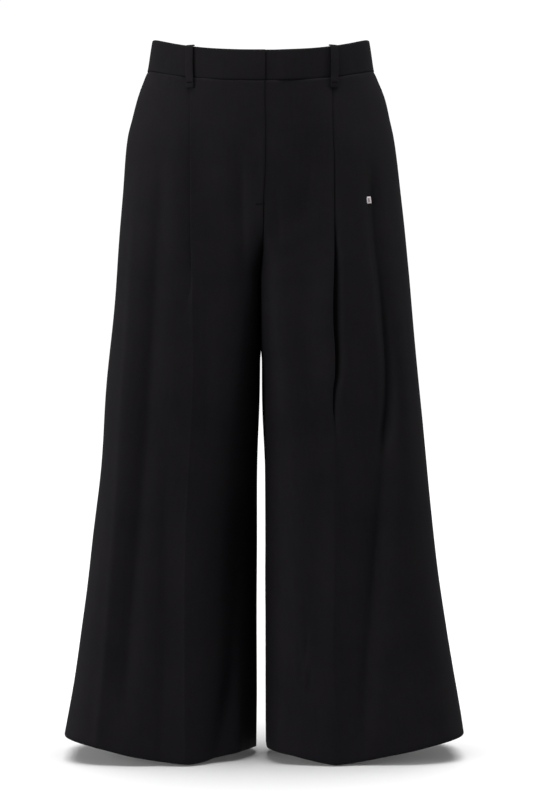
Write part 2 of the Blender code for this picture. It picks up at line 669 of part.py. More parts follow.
def belt_loop(side, face, out):
    """A strip that stands off the waistband, folded over its top edge and sewn down below it."""
    top, away = surface_point(side, face, BAND_TOP_SIDE, BAND_WALL, out)
    seam, _ = surface_point(side, face, SEAM_SIDE, BAND_WALL, out)
    foot, _ = surface_point(side, face, SEAM_SIDE - LOOP_FOOT, WALL, out)
    # The loop clears the higher end of the top edge that it crosses
    top_level = float(band_top(side, face, out + LOOP_WIDTH / 2))
    seam_level = float(waist_seam(side, face, out))
    rest = SEAM + LOOP_WALL / 2
    stand = LOOP_STAND + LOOP_WALL / 2
    # Each row: the base point it stands off, the stand-off, and the level
    path = (
        (top, -BAND_WALL * 0.8, top_level + rest + 0.0002),
        (top, 0.0004, top_level + rest + 0.0002),
        (top, 0.0022, top_level + 0.0004),
        (top, stand - 0.0003, top_level - 0.0030),
        (top * 0.8 + seam * 0.2, stand, top_level - 0.0090),
        (top * 0.5 + seam * 0.5, stand + 0.0002, (top_level + seam_level) / 2),
        (top * 0.2 + seam * 0.8, stand, seam_level + 0.0080),
        (seam, stand - 0.0004, seam_level + 0.0020),
        (seam * 0.5 + foot * 0.5, rest + 0.0016, seam_level - LOOP_FOOT * 0.45),
        (foot, rest + 0.0004, seam_level - LOOP_FOOT * 0.8),
        (foot, rest + 0.0002, seam_level - LOOP_FOOT),
    )
    line = np.array([[*(base + away * stand_off), level] for base, stand_off, level in path])
    run = np.gradient(line, axis=0)
    width = np.array([away[1], -away[0], 0.0])
    across = np.cross(run, width)
    across /= np.linalg.norm(across, axis=1)[:, None]
    outwards = np.array([*away, 0.0])
    across *= np.sign(across[len(path) // 2] @ outwards)
    mirror = np.array([SIDES[side], -FACES[face], 1.0])
    grids = []
    for sign in (1, -1):
        skin = line + sign * across * LOOP_WALL / 2
        edges = [(skin + width * half * LOOP_WIDTH / 2) * mirror for half in (-1, 1)]
        grids.append(np.stack(edges, axis=1))
    return grids


def label_tab(panel):
    """A small woven tab sewn flat to the left front, made from the panel's own points, moved out."""
    turn = math.radians(LABEL["tilt"])
    outer = panel[0]
    grids = []
    for lift in (LABEL["lift"] + LABEL["wall"], LABEL["lift"]):
        rows = []
        for v in (-0.5, 0, 0.5):
            row = []
            for u in (-0.5, 0, 0.5):
                across, up = u * LABEL["width"], v * LABEL["height"]
                x = LABEL["x"] + across * math.cos(turn) - up * math.sin(turn)
                z = LABEL["z"] + across * math.sin(turn) + up * math.cos(turn)
                point, away = on_panel(outer, x, z)
                row.append(point + away * lift)
            rows.append(row)
        grids.append(np.array(rows))
    return grids


def on_panel(grid, x, z):
    """The panel's point in front of a place in the front view, and the direction away from it."""
    for i in range(grid.shape[0] - 1):
        for j in range(grid.shape[1] - 1):
            corner = grid[i, j]
            across = grid[i, j + 1] - corner
            down = grid[i + 1, j] - corner
            normal = np.cross(across, down)
            if normal[1] > 0:
                normal = -normal
            spread = across[0] * down[2] - across[2] * down[0]
            if abs(spread) < 1e-9 or normal[1] > -0.3 * np.linalg.norm(normal):
                continue
            dx, dz = x - corner[0], z - corner[2]
            u = (dx * down[2] - dz * down[0]) / spread
            v = (across[0] * dz - across[2] * dx) / spread
            if -0.05 <= u <= 1.05 and -0.05 <= v <= 1.05:
                return corner + across * u + down * v, normal / np.linalg.norm(normal)
    raise ValueError(f"no cloth at {x}, {z}")


def main():
    for obj in list(bpy.data.objects):
        bpy.data.objects.remove(obj)
    fronts = {side: front_panel(side) for side in SIDES}
    for side in SIDES:
        wall_object(f"front_{side}", *fronts[side], CLOTH)
        wall_object(f"back_{side}", *back_panel(side), CLOTH)
        wall_object(f"pocket_facing_{side}", *pocket_facing(side), CLOTH_INSIDE)
    for name, band in front_bands().items():
        wall_object(name, *band, CLOTH)
    wall_object("waistband_back", *back_band(), CLOTH)
    for name, (side, face, out) in LOOPS.items():
        wall_object(name, *belt_loop(side, face, out), CLOTH)
    wall_object("label_tab", *label_tab(fronts["left"]), LABEL_WHITE)


main()
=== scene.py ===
import math

import bmesh
import bpy
import numpy as np
from mathutils import Matrix, Vector


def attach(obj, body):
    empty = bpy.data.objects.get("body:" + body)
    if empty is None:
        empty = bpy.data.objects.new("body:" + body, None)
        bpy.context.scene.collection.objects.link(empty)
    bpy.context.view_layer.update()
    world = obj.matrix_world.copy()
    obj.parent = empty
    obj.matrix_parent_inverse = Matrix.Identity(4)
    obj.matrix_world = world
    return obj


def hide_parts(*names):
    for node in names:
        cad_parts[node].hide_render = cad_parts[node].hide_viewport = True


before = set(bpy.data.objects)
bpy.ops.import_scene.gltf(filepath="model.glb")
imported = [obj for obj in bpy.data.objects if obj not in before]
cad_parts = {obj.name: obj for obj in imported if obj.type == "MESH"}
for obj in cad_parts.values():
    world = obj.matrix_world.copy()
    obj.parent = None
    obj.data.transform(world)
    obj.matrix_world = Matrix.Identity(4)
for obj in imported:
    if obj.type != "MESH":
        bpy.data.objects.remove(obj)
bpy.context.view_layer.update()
print("frame loaded:", ", ".join(sorted(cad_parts)))

sides = {"right": -1, "left": 1}  # the wearer's, so the right is at -X
faces = {"front": 1, "back": -1}

# All lengths are metres, heights are along Z from the middle of the waistband at the sides.
cloth = {
    "wall": 0.0009,  # suiting, with the seam allowances that stiffen it
    "bandWall": 0.0024,  # waistband: two layers and a stiffener
    "seam": 0.0003,  # gap between two pieces
    "crotch": -0.2850,
    "seamSide": -0.0194,  # waist seam at the sides, the centre front and the centre back
    "seamFront": -0.0415,
    "seamBack": -0.0204,
    "topSide": 0.0198,  # upper edge of the waistband
    "topFront": -0.0039,
    "topBack": 0.0198,
    "hemSide": -0.8660,
    "hemInseam": -0.8825,
    "hemDip": {"front": 0.0110, "back": 0.0060},  # how much lower the hem hangs at a crease
    "hemTurn": 0.036,  # the hem's turned-up cloth
    "flyEnd": -0.1900,
    "flyTuck": 0.014,  # how far the left front reaches under the right one
    "mouthOffset": 0.024,  # how far a pocket mouth slants in at the waist, and where it ends
    "mouthFoot": -0.165,
    "press": 0.0001,  # how far the two sides of a centre seam are pressed into each other
}


def table(names, *rows):
    return dict(zip(names.split(), np.array(rows, float).T))


def smooth(t):
    t = np.clip(t, 0, 1)
    return t * t * (3 - 2 * t)


def read(columns, name, height):  # smooth curve through a column that never overshoots its rows
    order = np.argsort(columns["height"])
    xs = columns["height"][order]
    ys = columns[name][order]
    steps = np.diff(xs)
    slopes = np.diff(ys) / steps
    before, after = slopes[:-1], slopes[1:]
    level = before * after <= 0
    total = np.where(level, 1.0, before + after)
    middle = np.where(level, 0.0, 2 * before * after / total)
    tangents = np.concatenate([slopes[:1], middle, slopes[-1:]])
    x = np.clip(height, xs[0], xs[-1])
    i = np.clip(np.searchsorted(xs, x) - 1, 0, len(steps) - 1)
    t = (x - xs[i]) / steps[i]
    rise = ys[i] * (1 + 2 * t) * (1 - t) ** 2 + ys[i + 1] * (3 - 2 * t) * t**2
    lean = steps[i] * (tangents[i] * t * (1 - t) ** 2 - tangents[i + 1] * t**2 * (1 - t))
    return rise + lean


def valueAt(columns, name, height):
    return float(read(columns, name, height))


# Half widths seen from the front
outline = table(
    "height right left",
    (0.0198, 0.1388, 0.1384),
    (-0.0173, 0.1444, 0.1438),
    (-0.0275, 0.1484, 0.1480),
    (-0.0531, 0.1574, 0.1569),
    (-0.0787, 0.1638, 0.1625),
    (-0.1043, 0.1700, 0.1684),
    (-0.1300, 0.1728, 0.1723),
    (-0.1811, 0.1754, 0.1781),
    (-0.2579, 0.1803, 0.1858),
    (-0.3603, 0.1900, 0.1960),
    (-0.4627, 0.1985, 0.2065),
    (-0.5651, 0.2080, 0.2151),
    (-0.6419, 0.2163, 0.2231),
    (-0.7187, 0.2271, 0.2343),
    (-0.7955, 0.2375, 0.2460),
    (-0.8660, 0.2497, 0.2580),
    (-0.8900, 0.2540, 0.2623),
)

# Depths from the side seams' plane: the body's at its centre, a leg's at its crease. A fullness
# under 1 makes the body squarer than an ellipse.
depths = table(
    "height front back legFrontRight legFrontLeft legBack fullness",
    (0.0198, 0.1040, 0.1000, 0.1040, 0.1040, 0.1000, 0.85),
    (-0.0194, 0.1075, 0.1065, 0.1040, 0.1040, 0.1060, 0.85),
    (-0.0800, 0.1125, 0.1240, 0.1060, 0.1060, 0.1230, 0.78),
    (-0.1300, 0.1155, 0.1370, 0.1090, 0.1090, 0.1360, 0.72),
    (-0.1800, 0.1160, 0.1420, 0.1120, 0.1120, 0.1410, 0.68),
    (-0.2300, 0.1150, 0.1400, 0.1150, 0.1150, 0.1400, 0.66),
    (-0.2850, 0.1150, 0.1340, 0.1160, 0.1150, 0.1350, 0.66),
    (-0.4200, 0.1150, 0.1250, 0.1130, 0.1110, 0.1240, 0.66),
    (-0.5500, 0.1150, 0.1200, 0.1050, 0.1020, 0.1120, 0.66),
    (-0.7000, 0.1150, 0.1180, 0.0980, 0.0940, 0.1030, 0.66),
    (-0.8900, 0.1150, 0.1180, 0.0950, 0.0900, 0.0980, 0.66),
)

# How far out each pressed crease stands
creaseLines = {
    "frontRight": table(
        "height x",
        (0.0198, 0.0866),
        (-0.1300, 0.0866),
        (-0.2450, 0.0858),
        (-0.3000, 0.0826),
        (-0.3940, 0.0818),
        (-0.5180, 0.0874),
        (-0.6070, 0.0920),
        (-0.7200, 0.0935),
        (-0.8900, 0.0930),
    ),
    "frontLeft": table(
        "height x",
        (0.0198, 0.0875),
        (-0.0790, 0.0872),
        (-0.1520, 0.0893),
        (-0.2380, 0.0893),
        (-0.2750, 0.0886),
        (-0.3130, 0.0874),
        (-0.3370, 0.0875),
        (-0.3660, 0.0893),
        (-0.3860, 0.0901),
        (-0.4060, 0.0898),
        (-0.4230, 0.0880),
        (-0.4420, 0.0878),
        (-0.4850, 0.0900),
        (-0.6070, 0.0900),
        (-0.7420, 0.0888),
        (-0.8650, 0.0972),
        (-0.8900, 0.0980),
    ),
    "backRight": table("height x", (0.0198, 0.0700), (-0.13, 0.0820), (-0.40, 0.0980), (-0.89, 0.1280)),
    "backLeft": table("height x", (0.0198, 0.0700), (-0.13, 0.0820), (-0.40, 0.0975), (-0.89, 0.1290)),
}

# A leg's shape between its creases and its seams: 0 is an ellipse, 1 runs straight, and below 0
# is squarer than an ellipse
legShape = table(
    "height innerRight innerLeft innerBack outerRight outerLeft outerBack",
    (0.0198, -0.60, -0.72, -0.35, -0.50, -0.40, -0.30),
    (-0.2500, -0.60, -0.72, -0.35, -0.62, -0.45, -0.35),
    (-0.2850, -0.58, -0.72, -0.33, -0.60, -0.50, -0.35),
    (-0.3400, -0.46, -0.70, -0.30, -0.56, -0.52, -0.37),
    (-0.4000, -0.32, -0.66, -0.28, -0.53, -0.52, -0.38),
    (-0.5000, -0.08, -0.58, -0.25, -0.52, -0.54, -0.40),
    (-0.6000, 0.12, -0.54, -0.20, -0.52, -0.54, -0.40),
    (-0.7000, 0.22, -0.54, -0.15, -0.52, -0.52, -0.40),
    (-0.8000, 0.26, -0.54, -0.10, -0.52, -0.50, -0.38),
    (-0.8900, 0.26, -0.54, -0.05, -0.52, -0.48, -0.36),
)

# The inner legs: half the space between them, and how far in front of the side seams theirs lie
inseam = table(
    "height halfGap forward",
    (0.0000, -0.0003, 0.0120),
    (-0.2850, -0.0003, 0.0120),
    (-0.3670, -0.0003, 0.0080),
    (-0.3860, 0.0016, 0.0075),
    (-0.4370, 0.0032, 0.0060),
    (-0.5140, 0.0048, 0.0040),
    (-0.6160, 0.0054, 0.0020),
    (-0.8000, 0.0056, 0.0000),
    (-0.8900, 0.0062, 0.0000),
)

# The centre-front line wanders a little, as worn
centreLine = table(
    "height x",
    (0.0200, 0.0056),
    (-0.0400, 0.0046),
    (-0.0900, 0.0056),
    (-0.1500, 0.0050),
    (-0.1900, 0.0032),
    (-0.2250, 0.0031),
    (-0.2450, 0.0028),
    (-0.2650, 0.0014),
    (-0.2850, 0.0000),
    (-0.9000, 0.0000),
)

legStart = {"front": -0.205, "back": -0.090}  # where the centre seam starts to curve under
legBlend = {"front": 0.040, "back": 0.150}  # height over which the body's section turns into a leg's
legSideStart = -0.010  # the same at the side seams, and where they have a leg's section whole
legWhole = -0.420
creaseShare = 0.45  # share of a section between its centre and its crease
seatRise = 0.985  # how much of its quarter circle the centre seam runs down


def centreEdge(side, height):  # of a front, outwards from the centre plane on its own side
    return sides[side] * valueAt(centreLine, "x", height) + cloth["wall"] / 2 - cloth["press"]


def quarter(share, flat):  # run along and rise of a quarter of a rounded section
    angle = np.pi / 2 * share
    straight = max(flat, 0.0)
    power = 1 + min(flat, 0.0)
    run = 1 - np.clip(np.cos(angle), 0, 1) ** power
    rise = np.sin(angle) ** power
    return (1 - straight) * run + straight * share, (1 - straight) * rise + straight * share


def bodySection(side, face, height, wall, edge, count=321):
    # Points (out, deep) of a section's middle line, from its centre edge to the side seam
    name = side.capitalize()
    leg = "Back" if face == "back" else name
    share = np.linspace(0, 1, count)
    inner = np.clip(share / creaseShare, 0, 1)
    outer = np.clip((share - creaseShare) / (1 - creaseShare), 0, 1)
    half = valueAt(outline, side, height) - wall / 2
    depth = valueAt(depths, face, height) - wall / 2
    crease = valueAt(creaseLines[face + name], "x", height)
    fullness = valueAt(depths, "fullness", height)
    atCentre = smooth((legStart[face] - height) / legBlend[face])
    atSide = smooth((legSideStart - height) / (legSideStart - legWhole))

    edge = edge + atCentre * (valueAt(inseam, "halfGap", height) + cloth["press"])
    first = math.asin(edge / half)
    middle = math.asin(crease / half)
    last = math.acos((cloth["seam"] / 2 / depth) ** (1 / fullness))
    angle = first + (middle - first) * inner + (last - middle) * outer
    bodyOut = half * np.sin(angle)
    bodyDeep = depth * np.cos(angle) ** fullness

    # Above the crotch a leg's section reaches past the centre and is cut there, so that the centre
    # seam runs down a quarter circle
    legDepth = valueAt(depths, "legBack" if face == "back" else f"legFront{name}", height) - wall / 2
    startDeep = faces[face] * valueAt(inseam, "forward", height) + cloth["seam"] / 2
    innerFlat = valueAt(legShape, f"inner{leg}", height)
    outerFlat = valueAt(legShape, f"outer{leg}", height)
    above = np.clip((height - cloth["crotch"]) / (legStart[face] - cloth["crotch"]), 0, 1)
    risen = min(math.sqrt(1 - (1 - above) ** 2), seatRise)
    cut = 2 / np.pi * math.asin(risen ** (1 / (1 + min(innerFlat, 0.0)))) if risen else 0.0
    past = quarter(cut, innerFlat)[0]
    start = (edge - past * crease) / (1 - past)
    run, rise = quarter(cut + (1 - cut) * inner, innerFlat)
    runSide, riseSide = quarter(1 - outer, outerFlat)
    inside = share < creaseShare
    legOut = np.where(inside, start + (crease - start) * run, half + (crease - half) * runSide)
    deepSide = cloth["seam"] / 2 + (legDepth - cloth["seam"] / 2) * riseSide
    legDeep = np.where(inside, startDeep + (legDepth - startDeep) * rise, deepSide)
    blend = atCentre + (atSide - atCentre) * smooth(inner)
    points = np.stack([(1 - blend) * bodyOut + blend * legOut, (1 - blend) * bodyDeep + blend * legDeep])
    return points.T


def normalsOf(points):
    run = np.gradient(points, axis=0)
    across = np.stack([-run[:, 1], run[:, 0]], axis=1)
    return across / np.linalg.norm(across, axis=1)[:, None]


def lengthsOf(points):
    return np.concatenate([[0], np.cumsum(np.linalg.norm(np.diff(points, axis=0), axis=1))])


def placeOn(points, along, sunk):  # distances along a section, mirrored before its start
    lengths = lengthsOf(points)
    across = normalsOf(points)
    at = np.stack([np.interp(np.abs(along), lengths, points[:, i]) for i in (0, 1)], axis=1)
    normal = np.stack([np.interp(np.abs(along), lengths, across[:, i]) for i in (0, 1)], axis=1)
    normal /= np.linalg.norm(normal, axis=1)[:, None]
    mirrored = np.asarray(along) < 0
    at[mirrored, 0] = 2 * points[0, 0] - at[mirrored, 0]
    normal[mirrored, 0] *= -1
    return at - normal * np.asarray(sunk)[:, None]


def bandEdge(edge, side, face, out, wall=0.0):  # level of the waist "seam", or of the band's "top"
    sideLevel = cloth[f"{edge}Side"]
    centreLevel = cloth[edge + face.capitalize()]
    across = np.clip(np.abs(out) / (valueAt(outline, side, sideLevel) - wall / 2), 0, 1)
    return centreLevel + (sideLevel - centreLevel) * (0.55 * across**2 + 0.45 * across**4)


# How much higher each hem is than its own slope from the inner leg to the side seam
hemTrim = {
    "right": table(
        "out front back",
        (0.000, 0.0010, 0.0010),
        (0.012, 0.0030, 0.0016),
        (0.026, 0.0054, 0.0020),
        (0.040, 0.0052, 0.0022),
        (0.060, 0.0044, 0.0024),
        (0.085, 0.0030, 0.0026),
        (0.130, 0.0032, 0.0034),
        (0.170, 0.0040, 0.0044),
        (0.205, 0.0056, 0.0058),
        (0.255, 0.0072, 0.0072),
    ),
    "left": table(
        "out front back",
        (0.000, 0.0066, 0.0066),
        (0.012, 0.0094, 0.0060),
        (0.040, 0.0078, 0.0048),
        (0.065, 0.0052, 0.0036),
        (0.095, 0.0022, 0.0028),
        (0.125, 0.0030, 0.0030),
        (0.150, 0.0044, 0.0040),
        (0.190, 0.0050, 0.0050),
        (0.225, 0.0062, 0.0062),
        (0.264, 0.0082, 0.0082),
    ),
}


def hemLevel(side, face, out):  # rises to the side seam, and dips at the crease
    half = valueAt(outline, side, cloth["hemSide"])
    crease = valueAt(creaseLines[face + side.capitalize()], "x", cloth["hemSide"])
    across = np.clip(out / half, 0, 1)
    dip = np.where(out < crease, out / crease, (half - out) / (half - crease))
    trim = np.interp(out, hemTrim[side]["out"], hemTrim[side][face])
    slope = cloth["hemInseam"] + (cloth["hemSide"] - cloth["hemInseam"]) * (0.35 * across + 0.65 * across**2)
    return slope + trim - cloth["hemDip"][face] * smooth(np.clip(dip, 0, 1))


rowCurve = {
    "waistFade": 0.15,  # height over which the waist seam's curve fades out
    "hemStart": -0.45,  # where the hem's sets in
}


def rowLevel(side, face, height, out):  # the waist seam's and the hem's own curves carried into the rows
    top = bandEdge("seam", side, face, out, cloth["wall"]) - cloth["seam"] / 2 - cloth["seamSide"]
    top = top * smooth(1 - (cloth["seamSide"] - height) / rowCurve["waistFade"])
    start = rowCurve["hemStart"]
    foot = hemLevel(side, face, out) - cloth["hemSide"]
    return height + top + foot * smooth((start - height) / (start - cloth["hemSide"]))


# Drape folds: five places down each, as distances from the centre plane.
# widthIn and widthOut are towards and away from the centre. Height is above the surface.
folds = table(
    "leg face top foot fade x1 x2 x3 x4 x5 widthIn widthOut height",
    # right front
    (-1, 1, -0.12, -0.99, 0.14, 0.152, 0.164, 0.178, 0.196, 0.218, 0.012, 0.006, 0.0022),
    (-1, 1, -0.09, -0.86, 0.14, 0.1210, 0.1290, 0.1420, 0.1580, 0.1740, 0.016, 0.014, -0.0048),
    (-1, 1, -0.46, -0.99, 0.14, 0.116, 0.119, 0.120, 0.124, 0.128, 0.012, 0.009, -0.0014),
    (-1, 1, -0.33, -0.56, 0.06, 0.064, 0.066, 0.066, 0.065, 0.064, 0.012, 0.009, -0.0010),
    (-1, 1, -0.52, -0.99, 0.12, 0.020, 0.023, 0.031, 0.054, 0.070, 0.018, 0.018, -0.0080),
    (-1, 1, -0.66, -0.99, 0.10, 0.024, 0.025, 0.027, 0.030, 0.033, 0.009, 0.010, 0.0030),
    (-1, 1, -0.10, -0.34, 0.08, 0.026, 0.024, 0.022, 0.020, 0.018, 0.010, 0.014, -0.0030),
    # left front: a crisp fold falls from the hip and softens down the leg
    (1, 1, -0.13, -0.52, 0.06, 0.137, 0.1420, 0.1530, 0.1606, 0.150, 0.0090, 0.0110, -0.0080),
    (1, 1, -0.20, -0.90, 0.16, 0.148, 0.158, 0.149, 0.134, 0.126, 0.012, 0.026, -0.0078),
    (1, 1, -0.42, -0.99, 0.14, 0.087, 0.0885, 0.0875, 0.0900, 0.0950, 0.022, 0.012, 0.0030),
    (1, 1, -0.42, -0.97, 0.12, 0.024, 0.030, 0.034, 0.038, 0.042, 0.014, 0.012, -0.0014),
    (1, 1, -0.08, -0.24, 0.05, 0.060, 0.062, 0.060, 0.056, 0.050, 0.010, 0.009, -0.0010),
    (1, 1, -0.16, -0.26, 0.04, 0.018, 0.019, 0.021, 0.023, 0.025, 0.007, 0.006, -0.0010),
    (1, 1, -0.52, -0.94, 0.12, 0.196, 0.198, 0.202, 0.208, 0.216, 0.014, 0.014, -0.0010),
    # backs: soft folds that fall from the seat
    (-1, -1, -0.20, -0.99, 0.12, 0.134, 0.142, 0.150, 0.160, 0.172, 0.016, 0.011, -0.0050),
    (-1, -1, -0.24, -0.99, 0.12, 0.046, 0.050, 0.056, 0.060, 0.066, 0.012, 0.016, -0.0042),
    (-1, -1, -0.16, -0.92, 0.12, 0.160, 0.168, 0.178, 0.188, 0.206, 0.013, 0.012, 0.0032),
    (-1, -1, -0.46, -0.97, 0.12, 0.090, 0.088, 0.090, 0.094, 0.098, 0.010, 0.012, -0.0020),
    (-1, -1, -0.22, -0.40, 0.06, 0.030, 0.036, 0.046, 0.058, 0.072, 0.008, 0.010, -0.0020),
    (1, -1, -0.19, -0.99, 0.12, 0.130, 0.140, 0.152, 0.158, 0.168, 0.015, 0.010, -0.0050),
    (1, -1, -0.26, -0.99, 0.12, 0.042, 0.048, 0.050, 0.056, 0.060, 0.011, 0.016, -0.0042),
    (1, -1, -0.18, -0.94, 0.12, 0.164, 0.172, 0.180, 0.194, 0.212, 0.012, 0.012, 0.0034),
    (1, -1, -0.40, -0.90, 0.12, 0.082, 0.086, 0.090, 0.092, 0.090, 0.010, 0.011, -0.0018),
    (1, -1, -0.23, -0.42, 0.06, 0.026, 0.034, 0.048, 0.064, 0.082, 0.008, 0.010, -0.0022),
)

# Short creases where the cloth was crumpled: from (x1, z1) to (x2, z2) in the front view
crumples = table(
    "x1 z1 x2 z2 width height",
    (0.0470, -0.735, 0.0510, -0.790, 0.0026, -0.0009),
    (0.0590, -0.722, 0.0530, -0.772, 0.0024, -0.0010),
    (0.0640, -0.762, 0.0580, -0.806, 0.0024, -0.0008),
    (0.0450, -0.748, 0.0620, -0.798, 0.0030, 0.0006),
    (0.0660, -0.716, 0.0600, -0.742, 0.0022, 0.0006),
    (0.0700, -0.812, 0.0740, -0.850, 0.0026, -0.0006),
)


def foldHeight(side, face, height, out):
    total = np.zeros_like(out)
    for i in range(len(folds["leg"])):
        fold = {name: column[i] for name, column in folds.items()}
        if fold["leg"] != sides[side] or fold["face"] != faces[face]:
            continue
        down = (fold["top"] - height) / (fold["top"] - fold["foot"])
        if not 0 < down < 1:
            continue
        path = foldPath(fold, down)
        fade = smooth((fold["top"] - height) / fold["fade"]) * smooth((height - fold["foot"]) / fold["fade"])
        away = out - path
        width = np.where(away < 0, fold["widthIn"], fold["widthOut"])
        # Round on top, with long soft sides
        total += fold["height"] * fade / (1 + (away / width) ** 2) ** 1.6
    return total


def foldPath(fold, down):  # a soft line through the fold's five places
    places = {"height": np.arange(5.0), "x": np.array([fold[f"x{n}"] for n in range(1, 6)])}
    return valueAt(places, "x", down * 4)


def crumpleHeight(side, face, level, out):
    total = np.zeros_like(out)
    if side != "left" or face != "front":
        return total
    for x1, z1, x2, z2, width, height in zip(*crumples.values()):
        run = np.array([x2 - x1, z2 - z1])
        length = np.linalg.norm(run)
        along = ((out - x1) * run[0] + (level - z1) * run[1]) / length**2
        across = ((out - x1) * run[1] - (level - z1) * run[0]) / length
        along = np.clip(along, 0, 1)
        ends = smooth(along * 3) * smooth((1 - along) * 3)  # it fades over a third at each end
        total += height * ends * np.exp(-((across / width) ** 2))
    return total


unevenness = {"seed": 11, "waves": 26, "height": 0.00026}
draws = np.random.RandomState(unevenness["seed"])
waves = [
    {
        "x": draws.uniform(-110, 110),  # turns to the metre times 2 pi, across
        "z": draws.uniform(-34, 34),  # and down the cloth, where it is calmer
        "turn": draws.uniform(0, 2 * math.pi),
        "part": draws.uniform(0.4, 1.0),
    }
    for _ in range(unevenness["waves"])
]


def unevenHeight(x, z):  # the cloth is never quite flat
    total = sum(w["part"] * np.sin(w["x"] * x + w["z"] * z + w["turn"]) for w in waves)
    return unevenness["height"] * total


# The pleats: the cloth's length between its two folds, how far it is folded (180 is flat shut),
# and where and over what width the cloth beyond comes back to the surface. Radius is the folds'
# own, and roll what they have more as they open. Crevice is the depth of the groove beside the
# fold, and lift is how far the fold's edge stands proud.
pleats = {
    "right": table(
        "height length turn start merge radius roll crevice lift",
        (0.0000, 0.0140, 180, 0.000, 0.030, 0.00045, 0.0010, 0.0, 0.0),
        (-0.1500, 0.0110, 180, 0.000, 0.030, 0.00045, 0.0010, 0.0, 0.0),
        (-0.2000, 0.0060, 180, 0.000, 0.028, 0.00042, 0.0008, 0.0, 0.0),
        (-0.2350, 0.0030, 176, 0.000, 0.024, 0.00034, 0.0006, 0.0, 0.0),
        (-0.2600, 0.0014, 120, 0.000, 0.020, 0.00024, 0.0005, 0.0, 0.0),
        (-0.2900, 0.0008, 30, 0.000, 0.016, 0.00018, 0.0006, 0.0, 0.0),
        (-0.3200, 0.0030, 4, 0.000, 0.014, 0.00030, 0.0024, 0.0, 0.0),
        (-0.3600, 0.0060, 0, 0.000, 0.014, 0.00040, 0.0030, 0.0, 0.0),
        (-0.9000, 0.0120, 0, 0.000, 0.014, 0.00040, 0.0030, 0.0, 0.0),
    ),
    "left": table(
        "height length turn start merge radius roll crevice lift",
        (0.0000, 0.0160, 180, 0.0000, 0.030, 0.00045, 0.0010, 0.0003, 0.0),
        (-0.1000, 0.0160, 180, 0.0000, 0.030, 0.00045, 0.0010, 0.0006, 0.0),
        (-0.1700, 0.0150, 180, 0.0000, 0.028, 0.00048, 0.0010, 0.0012, 0.0),
        (-0.2000, 0.0130, 180, 0.0000, 0.026, 0.00050, 0.0010, 0.0014, 0.0003),
        (-0.2200, 0.0110, 176, -0.0020, 0.022, 0.00052, 0.0010, 0.0012, 0.0009),
        (-0.2400, 0.0100, 160, -0.0020, 0.014, 0.00055, 0.0010, 0.0004, 0.0018),
        (-0.2600, 0.0095, 146, -0.0005, 0.0140, 0.00060, 0.0012, 0.0, 0.0028),
        (-0.2850, 0.0090, 138, 0.0002, 0.0150, 0.00060, 0.0012, 0.0, 0.0044),
        (-0.3100, 0.0088, 134, 0.0006, 0.0158, 0.00060, 0.0012, 0.0, 0.0054),
        (-0.3400, 0.0085, 134, 0.0006, 0.0158, 0.00060, 0.0012, 0.0, 0.0052),
        (-0.3660, 0.0080, 138, 0.0006, 0.0150, 0.00060, 0.0012, 0.0, 0.0042),
        (-0.3860, 0.0076, 138, 0.0006, 0.0155, 0.00060, 0.0012, 0.0, 0.0036),
        (-0.4050, 0.0068, 142, 0.0006, 0.0150, 0.00055, 0.0010, 0.0, 0.0036),
        (-0.4230, 0.0050, 146, 0.0004, 0.0140, 0.00045, 0.0008, 0.0, 0.0024),
        (-0.4420, 0.0022, 120, 0.0000, 0.012, 0.00035, 0.0006, 0.0, 0.0015),
        (-0.4600, 0.0008, 56, 0.0000, 0.012, 0.00025, 0.0005, 0.0, 0.0007),
        (-0.4850, 0.0010, 12, 0.0000, 0.012, 0.00030, 0.0010, 0.0, 0.0),
        (-0.5500, 0.0060, 0, 0.0000, 0.020, 0.00060, 0.0030, 0.0, 0.0),
        (-0.9000, 0.0140, 0, 0.0000, 0.026, 0.00090, 0.0030, 0.0, 0.0),
    ),
}
pleatSpec = {
    "arcSteps": 6,  # columns round each fold, and on the cloth between the two
    "flatSteps": 3,
    "creviceAt": 0.0012,  # past the fold
    "creviceWidth": 0.0008,
    "liftWidth": 0.038,  # width over which the cloth rises to a proud edge
    "leastTurn": 0.5,  # degrees; never 0, because the folds' radius is worked out from it
}


def pleatColumns(side, height):  # (along from the fold's edge, depth) of the pleat's columns
    length, turn, radius, roll = (
        valueAt(pleats[side], name, height) for name in ("length", "turn", "radius", "roll")
    )
    turn = math.radians(max(turn, pleatSpec["leastTurn"]))
    radius = (math.pi * radius + (1 - turn / math.pi) * roll) / turn
    steps = pleatSpec["arcSteps"]
    places = [(0.0, 0.0)]
    for part in np.arange(1, steps + 1) / steps:
        places.append((radius * math.sin(part * turn), radius * (1 - math.cos(part * turn))))
    x, y = places[-1]
    for part in np.arange(1, pleatSpec["flatSteps"] + 1) / pleatSpec["flatSteps"]:
        places.append((x + length * part * math.cos(turn), y + length * part * math.sin(turn)))
    x, y = places[-1]
    for part in np.arange(1, steps + 1) / steps:
        rest = turn * (1 - part)
        stepOut = radius * (math.sin(turn) - math.sin(rest))
        places.append((x + stepOut, y + radius * (math.cos(rest) - math.cos(turn))))
    return np.array(places)


# How a piece's edge is finished: (along, depth) from the edge inwards. Both lists are as long, so
# that one can turn into the other.
seamEdge = np.array([(0.0, 0.0085), (0.0, 0.0045), (0.0, 0.0020), (0.0003, 0.0008), (0.0009, 0.0002)])
foldedEdge = np.array([(0.0110, 0.0010), (0.0040, 0.0011), (0.0006, 0.0010), (0.0, 0.0005), (0.0006, 0.0)])
edgeMargin = 0.0022  # where a panel's plain columns start


def mouthWidth(height):  # how far the front's edge stands back from the side seam at the pocket
    along = (height - cloth["mouthFoot"]) / (cloth["seamSide"] - cloth["mouthFoot"])
    return cloth["mouthOffset"] * float(np.clip(along, 0, 1))


